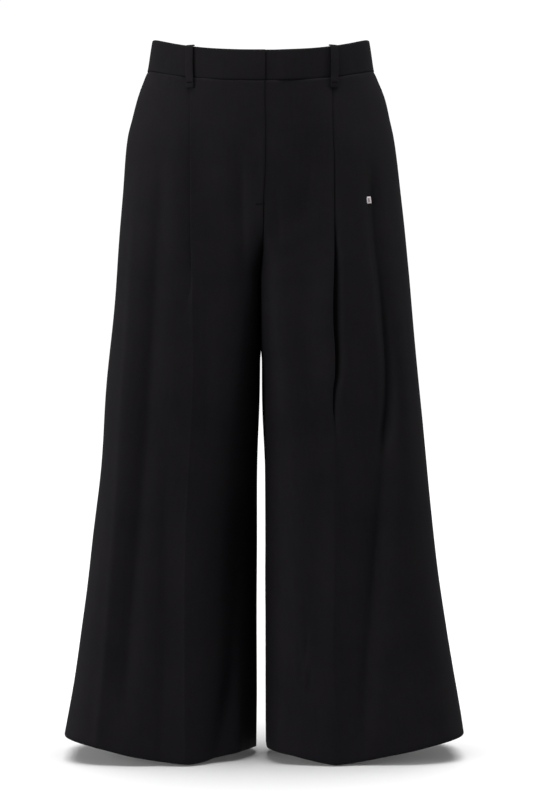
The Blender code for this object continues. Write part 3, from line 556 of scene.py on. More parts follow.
lap = {
    "step": 0.0019,  # how deep the left front lies under the right one
    "flat": 0.004,  # it does so until this far past the centre line, and comes out over the width
    "width": 0.060,
    "below": 0.055,  # it starts to sink this far under the fly's end, and has sunk over the fade
    "fade": 0.035,
}


def flySink(height, out):  # the left front sinks to pass under the right one
    near = 1 - smooth((out - valueAt(centreLine, "x", height) - lap["flat"]) / lap["width"])
    return lap["step"] * near * smooth((height - cloth["flyEnd"] + lap["below"]) / lap["fade"])


# Where each pressed crease starts, and over what height it comes up
pressed = {
    "frontRight": (-0.25, 0.06),
    "frontLeft": (-0.50, 0.10),
    "backRight": (-0.20, 0.15),
    "backLeft": (-0.20, 0.15),
}
ridge = {"sharp": 0.0005, "sharpWidth": 0.0016, "soft": 0.0006, "softWidth": 0.009, "shift": 0.0015}


def pressedCrease(side, face, height, away):
    # A pressed crease stands up as a fine sharp ridge where the pleat lets go
    start, fade = pressed[face + side.capitalize()]
    away = np.abs(away)
    soft = ridge["soft"] * np.exp(-((away / ridge["softWidth"]) ** 2))
    return smooth((start - height) / fade) * (ridge["sharp"] * np.exp(-away / ridge["sharpWidth"]) + soft)


def creasePlace(side, face, height, section):  # how far along a section its crease lies
    crease = valueAt(creaseLines[face + side.capitalize()], "x", height)
    return float(np.interp(crease, section[:, 0], lengthsOf(section)))


frontSpec = {
    "inner": 60,  # columns inside and beyond the pleat
    "outer": 84,
    "start": 0.0015,  # from the edge's own columns to the first of these
    "flyFade": 0.006,  # height over which the fly's loose edge turns into a seam
    "tuckEnd": 0.002,
    "mouthFade": 0.0015,  # width of mouth over which the side seam turns into a folded edge
    "lip": 0.002,  # where the plain columns beyond the pleat start, with a share of its cloth
    "lipShare": 0.8,
    "between": (0.16, 0.33, 0.5, 0.67),  # columns between the pleat and that place
}


def frontColumns(side, height, section):
    creaseAt = creasePlace(side, "front", height, section)
    pleat = pleatColumns(side, height)
    end, deep = pleat[-1]
    length, merge, start, crevice, lift = (
        valueAt(pleats[side], name, height) for name in ("length", "merge", "start", "crevice", "lift")
    )
    loose = smooth((height - cloth["flyEnd"]) / frontSpec["flyFade"])  # above the fly's end
    tuck = np.linspace(-cloth["flyTuck"], -frontSpec["tuckEnd"], len(seamEdge))
    free = foldedEdge if side == "right" else np.stack([tuck, np.zeros(len(tuck))], axis=1)
    edge = seamEdge + (free - seamEdge) * loose
    inner = np.linspace(edge[-1, 0] + frontSpec["start"], creaseAt, frontSpec["inner"])[:-1]

    mouth = mouthWidth(height)
    last = lengthsOf(section)[-1] - mouth
    finish = (seamEdge + (foldedEdge - seamEdge) * smooth(mouth / frontSpec["mouthFade"]))[::-1]
    lip = creaseAt + frontSpec["lip"] + frontSpec["lipShare"] * (end + length)
    between = creaseAt + end + (lip - creaseAt - end) * np.array(frontSpec["between"])
    outer = np.linspace(lip, last - edgeMargin, frontSpec["outer"])
    beyond = np.concatenate([between, outer, last - finish[:, 0]])
    along = np.concatenate([edge[:, 0], inner, creaseAt + pleat[:, 0], beyond])

    past = beyond - creaseAt - max(end, start)
    sunk = deep * (1 - np.clip(past / merge, 0, 1)) ** 2
    sunk = sunk + crevice * np.exp(-(((past - pleatSpec["creviceAt"]) / pleatSpec["creviceWidth"]) ** 2))
    sunk[-len(finish) :] += finish[:, 1]
    # Where the pleat hangs open, the fold's edge stands proud of the cloth beyond it
    proud = lift * smooth(1 - (creaseAt - inner) / pleatSpec["liftWidth"])
    under = pleat[:, 1] - lift * smooth(np.linspace(1.0, 0.0, len(pleat)))
    sunk = np.concatenate([edge[:, 1] * loose, -proud, under, sunk])
    shift = min(pleat[:, 0].max() / 2, ridge["shift"])
    sunk = sunk - pressedCrease(side, "front", height, along - creaseAt - shift)
    return along, sunk, edge[:, 1] * (1 - loose)


backSpec = {"inner": 54, "outer": 58}


def backColumns(side, height, section):
    length = lengthsOf(section)[-1]
    creaseAt = creasePlace(side, "back", height, section)
    inner = np.linspace(edgeMargin, creaseAt, backSpec["inner"])[:-1]
    outer = np.linspace(creaseAt, length - edgeMargin, backSpec["outer"])
    along = np.concatenate([seamEdge[:, 0], inner, outer, length - seamEdge[::-1, 0]])
    sunk = np.concatenate([np.zeros(len(seamEdge) + len(inner) + len(outer)), seamEdge[::-1, 1]])
    return along, sunk - pressedCrease(side, "back", height, along - creaseAt), seamEdge[:, 1]


def rowHeights():  # of the rows on the wearer's side of the seams, top to bottom
    seam = cloth["seamSide"] - np.array([0, 0.0007, 0.0015, 0.0026, 0.0045])
    yoke, seat = -0.06, -0.20  # rows lie closer from the one down, and closer still from the other
    top = np.linspace(cloth["seamSide"] - 0.008, yoke, 9)[:-1]
    middle = np.linspace(yoke, seat, 33)[:-1]
    curve = cloth["crotch"] + (seat - cloth["crotch"]) * np.linspace(1, 0, 40) ** 1.8
    rest = np.linspace(cloth["crotch"], cloth["hemSide"], 120)[1:]
    return np.concatenate([seam, top, middle, curve, rest])


seamGroove = {"depth": 0.0010, "width": 0.0012}  # where the waistband is sewn on

# Rows above the waist seam go in behind the waistband, and rows past the hem turn up inside: how
# far up each lies, and how deep
waistRows = ((0.0060, 0.0020), (0.0025, 0.0020), (0.0008, 0.0018))
hemRows = (
    (-0.0006, 0.0002),
    (-0.0009, 0.0008),
    (-0.0005, 0.0014),
    (0.0004, 0.0016),
    (cloth["hemTurn"] / 2, 0.0016),
    (cloth["hemTurn"], 0.0016),
)
settle = {"waist": 0.05, "edge": 0.009, "seat": 0.03}  # over what length folds and turnings fade


def panelRows(side, face, columnsAt, heights, hemmed=True):
    # Every row of a panel: points (x, y, z) and the cloth's own (across, down) in metres
    rows, flats = [], []
    half = cloth["wall"] / 2

    def add(height, extraSunk, lift):
        edge = centreEdge(side, height) if face == "front" else half - cloth["press"]
        section = bodySection(side, face, height, cloth["wall"], edge)
        along, sunk, turned = columnsAt(side, height, section)
        out = np.interp(along, lengthsOf(section), section[:, 0]) + np.minimum(along, 0)
        level = rowLevel(side, face, height, out)
        raised = foldHeight(side, face, height, out) + crumpleHeight(side, face, level, out)
        # 3 m to one side or the other, where the backs' waves differ from the fronts'
        raised = raised + unevenHeight(sides[side] * out + 3 * faces[face], level)
        calm = smooth((cloth["seamSide"] - height) / settle["waist"]) * smooth(along / settle["edge"])
        sunk = sunk - raised * calm + extraSunk
        if side == "left" and face == "front":
            sunk = sunk + flySink(height, out)
        row = placeOn(section, along, sunk)
        # The centre seam's turnings lie against each other, and below the crotch inside the leg
        count = len(turned)
        if height > cloth["crotch"]:
            row[:count, 1] -= turned * smooth((height - cloth["crotch"]) / settle["seat"])
            lowest = np.where(row[:, 0] > 0.5 * section[-1, 0], half, -np.inf)
        else:
            row[:count, 0] += turned
            forward = valueAt(inseam, "forward", height)
            reach = 1 - np.clip(row[:, 0] / valueAt(outline, side, height), 0, 1)
            lowest = faces[face] * forward * reach + half
            row[:, 0] = np.maximum(row[:, 0], half - cloth["press"])
        row[:, 1] = np.maximum(row[:, 1], lowest)
        rows.append(np.stack([sides[side] * row[:, 0], -faces[face] * row[:, 1], level + lift], axis=1))
        flats.append(np.stack([along, np.full_like(along, height + lift)], axis=1))

    for lift, extraSunk in waistRows:
        add(cloth["seamSide"], extraSunk, lift)
    for height in heights:
        below = cloth["seamSide"] - height
        add(height, seamGroove["depth"] * math.exp(-((below / seamGroove["width"]) ** 2)), 0.0)
    for lift, extraSunk in hemRows if hemmed else ():
        add(cloth["hemSide"] + max(lift, 0), extraSunk, min(lift, 0))
    return np.array(rows), np.array(flats)


def newPiece(name, bm, nodes, stuff):
    mesh = bpy.data.meshes.new(name)
    bm.to_mesh(mesh)
    bm.free()
    mesh.shade_smooth()
    mesh.materials.append(stuff)
    piece = bpy.data.objects.new(name, mesh)
    bpy.context.scene.collection.objects.link(piece)
    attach(piece, "root")
    if nodes:
        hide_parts(*nodes)
    return piece


def clothGrid(points, flats, outwards=None):
    # A grid of faces whose vertices are moved to the cloth's middle surface
    rows, columns = points.shape[:2]
    bm = bmesh.new()
    bmesh.ops.create_grid(bm, x_segments=columns - 1, y_segments=rows - 1, size=0.5, calc_uvs=True)
    uv = bm.loops.layers.uv.new("cloth")
    for vert in bm.verts:
        row = round((vert.co.y + 0.5) * (rows - 1))
        column = round((vert.co.x + 0.5) * (columns - 1))
        for loop in vert.link_loops:
            loop[uv].uv = flats[row, column]
        vert.co = points[row, column]
    bmesh.ops.recalc_face_normals(bm, faces=bm.faces[:])
    middle = bm.faces[:][len(bm.faces) // 2]
    if outwards is not None and middle.normal.dot(Vector(outwards)) < 0:
        bmesh.ops.reverse_faces(bm, faces=bm.faces[:])
    return bm


def addWall(piece, wall, softEdge=None):  # on both sides of the middle surface
    thick = piece.modifiers.new("cloth wall", "SOLIDIFY")
    thick.thickness = wall
    thick.offset = 0
    if softEdge:
        soft = piece.modifiers.new("soft edges", "BEVEL")
        soft.width = softEdge
        soft.segments = 2
        soft.limit_method = "ANGLE"
        soft.angle_limit = math.radians(50)


panels = {}


def keepPanel(name, piece, points, area):
    panels[name] = {"piece": piece, "points": points, "area": area}


def flatArea(points):
    # Area of the cloth itself, laid flat, from its grid
    a = points[1:, :-1] - points[:-1, :-1]
    b = points[:-1, 1:] - points[:-1, :-1]
    return float(np.linalg.norm(np.cross(a, b), axis=2).sum())


# Materials

def hexColour(code):  # sRGB hex to the linear colour that a shader takes
    parts = [int(code[i : i + 2], 16) / 255 for i in (1, 3, 5)]
    return tuple(p / 12.92 if p <= 0.04045 else ((p + 0.055) / 1.055) ** 2.4 for p in parts) + (1.0,)


def newMaterial(name):
    stuff = bpy.data.materials.new(name)
    stuff.use_nodes = True
    tree = stuff.node_tree
    tree.nodes.clear()
    return stuff, tree


def addNode(tree, kind, settings=None, inputs=None, links=None):
    node = tree.nodes.new(kind)
    for key, value in (settings or {}).items():
        setattr(node, key, value)
    for key, value in (inputs or {}).items():
        node.inputs[key].default_value = value
    for key, source in (links or {}).items():
        tree.links.new(source, node.inputs[key])
    return node


waveUnit = 0.314  # at this scale the wave texture draws one band in each unit of length

# Wool-blend twill suiting, piece-dyed black: matt, with a faint violet cast and a soft bloom
# where the fibre ends catch a low light. The twill runs up at 63 degrees, and uneven warp yarns
# give faint streaks down the cloth.
suiting = {
    "dark": "#18171c",
    "light": "#232022",
    "twill": 0.0011,  # a real rib is 0.4 mm; drawn coarser so that it shows at all
    "twillAngle": 63,  # degrees
    "slub": 0.0060,  # thick places in the yarn
    "streak": (0.0042, 0.045),  # a streak's width and length
    "mottle": 0.060,
    "roughness": 0.62,
    "specular": 0.06,
    "sheen": 0.02,
    "sheenTint": "#8a8794",
}


def makeSuiting(name, spec):
    stuff, tree = newMaterial(name)
    place = addNode(tree, "ShaderNodeUVMap", {"uv_map": "cloth"})
    onCloth = {"Vector": place.outputs["UV"]}
    ribsUp = {"Rotation": (0, 0, math.radians(90 - spec["twillAngle"])), "Scale": (1 / spec["twill"],) * 3}
    turned = addNode(tree, "ShaderNodeMapping", None, ribsUp, onCloth)
    twill = addNode(
        tree,
        "ShaderNodeTexWave",
        {"bands_direction": "X"},
        {"Scale": waveUnit, "Distortion": 1.2, "Detail": 2.0, "Detail Scale": 1.6},
        {"Vector": turned.outputs["Vector"]},
    )
    stretch = {"Scale": (1 / spec["streak"][0], 1 / spec["streak"][1], 1)}
    drawn = addNode(tree, "ShaderNodeMapping", None, stretch, onCloth)
    grain = {"Scale": 1.0, "Detail": 3.0, "Roughness": 0.6}
    streak = addNode(tree, "ShaderNodeTexNoise", None, grain, {"Vector": drawn.outputs["Vector"]})
    slub = addNode(tree, "ShaderNodeTexNoise", None, {"Scale": 1 / spec["slub"], "Detail": 3.0}, onCloth)
    clouds = {"Scale": 1 / spec["mottle"], "Detail": 4.0, "Roughness": 0.6}
    mottle = addNode(tree, "ShaderNodeTexNoise", None, clouds, onCloth)

    # The streaks, and then each other pattern mixed into what is there so far
    mixes = [streak.outputs["Fac"]]
    for layer, share in ((slub, 0.45), (mottle, 0.5), (twill, 0.18)):
        layers = {"A": mixes[-1], "B": layer.outputs["Fac"]}
        mixed = addNode(tree, "ShaderNodeMix", {"data_type": "FLOAT"}, {"Factor": share}, layers)
        mixes.append(mixed.outputs["Result"])
    ramp = addNode(tree, "ShaderNodeValToRGB", links={"Fac": mixes[-1]})
    for stop, colour, at in zip(ramp.color_ramp.elements, ("dark", "light"), (0.32, 0.68)):
        stop.color = hexColour(spec[colour])
        stop.position = at

    spread = {"To Min": spec["roughness"] - 0.06, "To Max": spec["roughness"] + 0.10}
    rough = addNode(tree, "ShaderNodeMapRange", None, spread, {"Value": slub.outputs["Fac"]})
    fine = {"Strength": 0.22, "Distance": 0.00012}
    ribs = addNode(tree, "ShaderNodeBump", None, fine, {"Height": twill.outputs["Fac"]})
    coarse = {"Strength": 0.22, "Distance": 0.0006}
    onRibs = {"Height": mixes[1], "Normal": ribs.outputs["Normal"]}
    bump = addNode(tree, "ShaderNodeBump", None, coarse, onRibs)
    shader = addNode(
        tree,
        "ShaderNodeBsdfPrincipled",
        inputs={
            "Metallic": 0.0,
            "IOR": 1.5,
            "Specular IOR Level": spec["specular"],
            "Sheen Weight": spec["sheen"],
            "Sheen Roughness": 0.45,
            "Sheen Tint": hexColour(spec["sheenTint"]),
        },
        links={
            "Base Color": ramp.outputs["Color"],
            "Roughness": rough.outputs["Result"],
            "Normal": bump.outputs["Normal"],
        },
    )
    addNode(tree, "ShaderNodeOutputMaterial", links={"Surface": shader.outputs["BSDF"]})
    return stuff


suitingCloth = makeSuiting("woven_wool_twill_suiting", suiting)
print("suiting made")


# Front and back panels

def clothPiece(node, side, face, columnsAt, heights, hemmed=True):
    points, flats = panelRows(side, face, columnsAt, heights, hemmed)
    bm = clothGrid(points, flats, (0, -faces[face], 0))
    piece = newPiece(f"{node}_cloth", bm, [node], suitingCloth)
    addWall(piece, cloth["wall"])
    keepPanel(node, piece, points, flatArea(points))
    print(node, points.shape, "flat area", round(panels[node]["area"], 4))


for side in sides:
    clothPiece(f"front_{side}", side, "front", frontColumns, rowHeights())
    clothPiece(f"back_{side}", side, "back", backColumns, rowHeights())


# Pocket facings: the cloth that shows between each mouth's folded edge and the side seam

facingSpec = {
    "under": 0.0021,  # how deep it lies behind the front
    "gape": 0.0030,  # how far the facing stands back at the mouth's edge, and how wide that gap is
    "gapeWidth": 0.0018,
    "behind": (0.0120, 0.0070, 0.0030, 0.0008),  # columns hidden behind the mouth's edge
    "steps": 14,
    "below": 0.012,  # how far it goes on past the mouth's lower end
    "upFrom": 0.006,  # widths of mouth at which it lies fully up, and gapes fully
    "gapeFrom": 0.008,
    "gapeAt": 0.0006,
    # How far its columns that show reach past the mouth's edge, and stop short of the side seam
    "open": (0, 0.0020),
    "shut": (0.0005, 0.0004),
    "openFrom": 0.003,
}


def facingColumns(side, height, section):
    length = lengthsOf(section)[-1]
    mouth = mouthWidth(height)
    last = length - mouth
    near, far = facingSpec["open" if mouth > facingSpec["openFrom"] else "shut"]
    shown = last - near + (length - far - last + near) * np.linspace(0, 1, facingSpec["steps"]) ** 1.5
    along = np.concatenate([last - np.array(facingSpec["behind"]), shown, length - seamEdge[::-1, 0]])
    up = smooth(mouth / facingSpec["upFrom"]) * smooth((along - last) / (0.8 * mouth + 0.0001))
    gape = facingSpec["gape"] * smooth(mouth / facingSpec["gapeFrom"])
    gapeOff = (along - last - facingSpec["gapeAt"]) / facingSpec["gapeWidth"]
    sunk = facingSpec["under"] * (1 - up) + gape * np.exp(-(gapeOff**2))
    sunk[-len(seamEdge) :] += seamEdge[::-1, 1]
    return along, sunk, np.zeros(0)


heights = [h for h in rowHeights() if h > cloth["mouthFoot"] - facingSpec["below"]]
for side in sides:
    clothPiece(f"pocket_facing_{side}", side, "front", facingColumns, heights, hemmed=False)
print("pocket facings made")


# Waistband: each length is a stiffened double layer with rolled upper and lower edges

bandSpec = {
    "wall": 0.0020,  # a little less than the solid's, which leaves room for its fullness
    "rise": 14,  # rows up each face
    "frontSteps": 64,
    "backSteps": 56,
    "fullness": 0.0005,
    "flyFlat": 0.010,  # the left end lies flat under the lap for this far, and then comes out
    "flyWidth": 0.016,
    "innerUp": 0.05,  # keeps the inner face's weave clear of the outer one's
    # It is never quite flat either: height, turns along times 2 pi, turn with its rise, and start
    "waves": ((0.0003, 61, 2.0, 0.0), (0.0002, 143, 0.0, 1.3)),
}


def bandLoop(side, face, edge, steps, lapped):
    # Closed rows round the band's wall at each column: outer face up, over the top, and down inside.
    # A row is its share of the wall off the middle, and its share of the way up.
    rows, flats = [], []
    wall = bandSpec["wall"]
    up = np.linspace(0.0, 1.0, bandSpec["rise"])
    outer = [(0.5, t) for t in 0.02 + 0.96 * up]
    crest = [(0.36, 0.995), (0.0, 1.006), (-0.36, 0.995)]
    inner = [(-0.5, t) for t in 0.98 - 0.96 * up]
    foot = [(-0.36, 0.005), (0.0, -0.006), (0.36, 0.005)]
    for off, t in outer + crest + inner + foot + outer[:1]:
        within = min(max(t, 0), 1)
        height = cloth["seamSide"] + (cloth["topSide"] - cloth["seamSide"]) * within
        section = bodySection(side, face, height, cloth["bandWall"], edge)
        lengths = lengthsOf(section)
        along = np.linspace(0, lengths[-1], steps)
        out = np.interp(along, lengths, section[:, 0])
        sunk = lapped(out) if lapped else np.zeros_like(out)
        puff = bandSpec["fullness"] * math.sin(math.pi * within) * (1 if off > 0 else 0.3)
        sunk = sunk - puff
        for high, turns, twist, first in bandSpec["waves"]:
            sunk = sunk - high * np.sin(out * turns + twist * t + first)
        line = placeOn(section, along, sunk)
        normal = normalsOf(line)
        low = bandEdge("seam", side, face, line[:, 0], cloth["bandWall"]) + cloth["seam"] / 2
        level = low + (bandEdge("top", side, face, line[:, 0], cloth["bandWall"]) - low) * t
        row = line + normal * off * wall
        row[-1, 1] = cloth["seam"] / 2  # the front and back bands meet at the side seam
        rows.append(np.stack([sides[side] * row[:, 0], -faces[face] * row[:, 1], level], axis=1))
        flats.append(np.stack([along, level + (bandSpec["innerUp"] if off < 0 else 0)], axis=1))
    return np.array(rows), np.array(flats)


def bandPiece(name, points, flats):
    bm = clothGrid(points, flats)
    bmesh.ops.remove_doubles(bm, verts=bm.verts[:], dist=0.00001)
    bmesh.ops.holes_fill(bm, edges=[e for e in bm.edges if e.is_boundary], sides=0)
    bmesh.ops.recalc_face_normals(bm, faces=bm.faces[:])
    if bm.calc_volume(signed=True) < 0:
        bmesh.ops.reverse_faces(bm, faces=bm.faces[:])
    piece = newPiece(f"{name}_cloth", bm, [name], suitingCloth)
    piece.data.set_sharp_from_angle(angle=math.radians(60))
    keepPanel(name, piece, points[: bandSpec["rise"]], flatArea(points) / 2)


centreTop = valueAt(centreLine, "x", 0.0)


def underLap(out):
    near = 1 - smooth((out - centreTop - bandSpec["flyFlat"]) / bandSpec["flyWidth"])
    return (bandSpec["wall"] + cloth["seam"]) * near


bandPiece("waistband_right", *bandLoop("right", "front", -centreTop, bandSpec["frontSteps"], None))
leftBand = bandLoop("left", "front", centreTop - cloth["flyTuck"], bandSpec["frontSteps"] + 6, underLap)
bandPiece("waistband_left", *leftBand)
halves = [bandLoop(side, "back", 0.0, bandSpec["backSteps"], None) for side in sides]
halves = [np.concatenate([one[:, ::-1], other[:, 1:]], axis=1) for one, other in zip(*halves)]
bandPiece("waistband_back", *halves)
print("waistband made")


def onPanel(points, x, z):
    # The cloth's middle surface at a place in the front view, and its direction away from the body
    centres = (points[1:, 1:] + points[:-1, :-1] + points[1:, :-1] + points[:-1, 1:]) / 4
    normals = np.cross(points[1:, 1:] - points[:-1, :-1], points[1:, :-1] - points[:-1, 1:])
    normals /= np.maximum(np.linalg.norm(normals, axis=2), 1e-12)[:, :, None]
    normals *= np.where(normals[:, :, 1] > 0, -1, 1)[:, :, None]
    away = np.hypot(centres[:, :, 0] - x, centres[:, :, 2] - z)
    away = away + np.where(np.abs(normals[:, :, 1]) < 0.3, 1.0, 0.0)  # not on a side that faces away
    near = away < away.min() + 0.002
    depth = np.where(near, centres[:, :, 1], np.inf)
    i, j = np.unravel_index(np.argmin(depth), depth.shape)
    centre, normal = centres[i, j], normals[i, j]
    y = centre[1] - (normal[0] * (x - centre[0]) + normal[2] * (z - centre[2])) / normal[1]
    return np.array([x, y, z]), normal


# Belt loops: narrow strips folded from one piece of cloth, sewn over the band's edges

loopSpec = {
    "width": 0.0105,
    "wall": 0.0013,
    "stand": 0.0026,
    "foot": 0.0136,  # how far its lower end lies under the waist seam
    "footPlace": 0.0107,  # where the panel is looked up for that end
    "roll": 0.00035,  # its long edges are folded under, so they roll away a little
    "steps": (54, 7),  # places along it and across it
    "softEdge": 0.0004,
    # side, face, distance from the centre, and how much it leans over its height
    "places": {
        "loop_front_right": ("right", "front", 0.0868, 0.0004),
        "loop_front_left": ("left", "front", 0.0890, -0.0006),
        "loop_back_right": ("right", "back", 0.0740, 0.0),
        "loop_back_left": ("left", "back", 0.0740, 0.0),
        "loop_back_centre": ("left", "back", 0.0, 0.0),
    },
}


def softLine(points, count):  # a smooth run through a few places, evenly cut
    points = np.array(points, float)
    lengths = lengthsOf(points)
    at = np.linspace(0, lengths[-1], count)
    columns = {"height": lengths, **{str(i): points[:, i] for i in range(points.shape[1])}}
    return np.stack([read(columns, str(i), at) for i in range(points.shape[1])], axis=1)


def outerPoint(side, face, height, wall, out):
    section = bodySection(side, face, height, wall, 0.0)
    normal = normalsOf(section)
    at = np.array([np.interp(out, section[:, 0], section[:, i] + normal[:, i] * wall / 2) for i in (0, 1)])
    away = np.array([np.interp(out, section[:, 0], normal[:, i]) for i in (0, 1)])
    return at, away / np.linalg.norm(away)


def beltLoop(name, side, face, out, lean):
    top, away = outerPoint(side, face, cloth["topSide"], cloth["bandWall"], out)
    seam, _ = outerPoint(side, face, cloth["seamSide"], cloth["bandWall"], out)
    foot, _ = outerPoint(side, face, cloth["seamSide"] - loopSpec["footPlace"], cloth["wall"], out)
    topLevel, seamLevel = (float(bandEdge(edge, side, face, out)) for edge in ("top", "seam"))
    footLevel = seamLevel - loopSpec["foot"]
    half = loopSpec["wall"] / 2
    stand = loopSpec["stand"] + half
    route = [  # its middle line: base on the band or the panel, distance off that, and level
        (top, -0.0018, topLevel + half + 0.0001),
        (top, -0.0002, topLevel + half + 0.0005),
        (top, 0.0012, topLevel + half + 0.0002),
        (top, stand - 0.0006, topLevel - 0.0014),
        (top * 0.8 + seam * 0.2, stand + 0.0002, topLevel - 0.0085),
        (top * 0.5 + seam * 0.5, stand + 0.0005, (topLevel + seamLevel) / 2),
        (top * 0.2 + seam * 0.8, stand + 0.0001, seamLevel + 0.0080),
        (seam, stand - 0.0004, seamLevel + 0.0015),
        (seam * 0.5 + foot * 0.5, half + 0.0022, seamLevel - 0.0050),
        (foot, half + 0.0012, footLevel + 0.0010),
        (foot, half + 0.0006, footLevel),
        (foot, half + 0.0001, footLevel + 0.0006),
    ]
    line = softLine([(*(base + away * off), level) for base, off, level in route], loopSpec["steps"][0])
    width = np.array([away[1], -away[0], 0.0])
    mirror = np.array([sides[side], -faces[face], 1.0])
    outwards = np.array([*away, 0.0])
    slide = lean * (line[:, 2] - topLevel) / 0.05
    rows, flats = [], []
    for share in np.linspace(-1, 1, loopSpec["steps"][1]):
        roll = -loopSpec["roll"] * abs(share) ** 6
        across = width * (share * loopSpec["width"] / 2) + outwards * roll
        rows.append((line + across + width * slide[:, None]) * mirror)
        flats.append(np.stack([np.full(len(line), share * 0.005), line[:, 2]], axis=1))
    points = np.array(rows).transpose(1, 0, 2)
    bm = clothGrid(points, np.array(flats).transpose(1, 0, 2), outwards * mirror)
    piece = newPiece(f"{name}_cloth", bm, [name], suitingCloth)
    addWall(piece, loopSpec["wall"], loopSpec["softEdge"])
    keepPanel(name, piece, points, flatArea(points))


for name, (side, face, out, lean) in loopSpec["places"].items():
    beltLoop(name, side, face, out, lean)
print("belt loops made")


# Side label: a small tab of satin-woven tape, left plain but for one woven stripe

tabSpec = {
    "width": 0.0064,
    "length": 0.0086,
    "wall": 0.0005,
    "softEdge": 0.00015,
    "place": (0.1326, -0.1885),
    "around": (-0.014, -0.007, 0.007),  # beside it, where the cloth's direction is taken
    "tilt": 5,  # degrees
    "stand": 0.0018,  # off the panel's middle surface
    "bow": 0.0004,
    "curl": 0.0002,  # of its side edges
    "steps": (15, 9),  # places along it and across it
    "white": "#f6f2f2",
    # the darker colour between the weft picks: painted shade in the grooves of the weave
    "shade": "#dcd3d4",
    "stripe": "#a78f95",
    "stripeEdges": {"X": (0.0009, 0.0014), "Y": (0.0021, 0.0028)},  # from its middle, solid to gone
    "weft": 0.0006,  # a real pick is 0.1 mm; drawn coarser so that it shows at all
}


def makeTape(name, spec):  # polyester tape, satin-woven: bright white, smooth, with a slight shine
    stuff, tree = newMaterial(name)
    place = addNode(tree, "ShaderNodeUVMap", {"uv_map": "cloth"})
    onCloth = {"Vector": place.outputs["UV"]}
    picks = {"Scale": waveUnit / spec["weft"], "Distortion": 0.6, "Detail": 1.0}
    weft = addNode(tree, "ShaderNodeTexWave", {"bands_direction": "Y"}, picks, onCloth)
    # The picks run from painted shade in the grooves between them to white on their crowns
    weave = addNode(tree, "ShaderNodeValToRGB", links={"Fac": weft.outputs["Fac"]})
    for stop, colour, at in zip(weave.color_ramp.elements, ("shade", "white"), (0.0, 0.6)):
        stop.color = hexColour(spec[colour])
        stop.position = at
    parts = addNode(tree, "ShaderNodeSeparateXYZ", links=onCloth)
    masks = []
    for axis, (near, far) in spec["stripeEdges"].items():
        away = addNode(tree, "ShaderNodeMath", {"operation": "ABSOLUTE"}, links={0: parts.outputs[axis]})
        limits = {"From Min": near, "From Max": far, "To Min": 1.0, "To Max": 0.0}
        mask = addNode(tree, "ShaderNodeMapRange", None, limits, {"Value": away.outputs["Value"]})
        masks.append(mask.outputs["Result"])
    inside = addNode(tree, "ShaderNodeMath", {"operation": "MULTIPLY"}, links=dict(enumerate(masks)))
    striped = addNode(
        tree,
        "ShaderNodeMix",
        {"data_type": "RGBA"},
        {7: hexColour(spec["stripe"])},  # sockets 6 and 7 are its two colours
        {"Factor": inside.outputs["Value"], 6: weave.outputs["Color"]},
    )
    picksUp = {"Strength": 0.3, "Distance": 0.0001}
    bump = addNode(tree, "ShaderNodeBump", None, picksUp, {"Height": weft.outputs["Fac"]})
    shader = addNode(
        tree,
        "ShaderNodeBsdfPrincipled",
        inputs={"Roughness": 0.42, "IOR": 1.5, "Specular IOR Level": 0.4, "Sheen Weight": 0.1},
        links={"Base Color": striped.outputs[2], "Normal": bump.outputs["Normal"]},
    )
    addNode(tree, "ShaderNodeOutputMaterial", links={"Surface": shader.outputs["BSDF"]})
    return stuff


def frameOn(points, x, z, turn, around=()):
    # A place on a panel, its normal, and the directions along and across, turned from level. The
    # normal may be that of the cloth around it.
    base, normal = onPanel(points, x, z)
    if around:
        normal = sum(onPanel(points, x + step, z)[1] for step in around)
        normal = normal / np.linalg.norm(normal)
    level = np.cross(np.array([0, 0, 1.0]), normal)
    level /= np.linalg.norm(level)
    up = np.cross(normal, level)
    angle = math.radians(turn)
    along = level * math.cos(angle) + up * math.sin(angle)
    return base, normal, along, np.cross(normal, along)


def sideTab(spec):
    points = panels["front_left"]["points"]
    base, normal, along, across = frameOn(points, *spec["place"], spec["tilt"], spec["around"])
    rows, flats = [], []
    for v in np.linspace(-0.5, 0.5, spec["steps"][0]):
        u = np.linspace(-0.5, 0.5, spec["steps"][1])[:, None]
        off = spec["stand"] + spec["bow"] * (0.25 - v * v) * 4 - spec["curl"] * (2 * u) ** 4
        rows.append(base + along * u * spec["width"] + across * v * spec["length"] + normal * off)
        flats.append(np.concatenate([u * spec["width"], np.full_like(u, v * spec["length"])], axis=1))
    bm = clothGrid(np.array(rows), np.array(flats), normal)
    tape = makeTape("satin_woven_polyester_tape", spec)
    piece = newPiece("side_tab", bm, ["label_tab"], tape)
    addWall(piece, spec["wall"], spec["softEdge"])
    return piece


tab = sideTab(tabSpec)
print("side tab made")


# Bar tacks: close rows of stitches across the ends of the fly, the pocket mouths and the loops

tackSpec = {
    "pitch": 0.00050,
    "stitch": (0.00030, 0.00085, 0.00022),  # half sizes of one stitch
    "skew": 0.00008,
    "fly": (-0.0014, -0.1945),
    "flyLong": 0.0092,
    "mouthLevels": (-0.0450, -0.1380),
    "mouthColumn": -9,  # counted from the panel's side edge, and the loop's row from its lower end
    "mouthLong": 0.0070,
    "loopRow": -8,
    "loopLong": 0.0084,
    "dark": "#0c0b0e",
    "light": "#161419",
    "ply": 0.0006,  # a ply comes round about every 0.6 mm
}


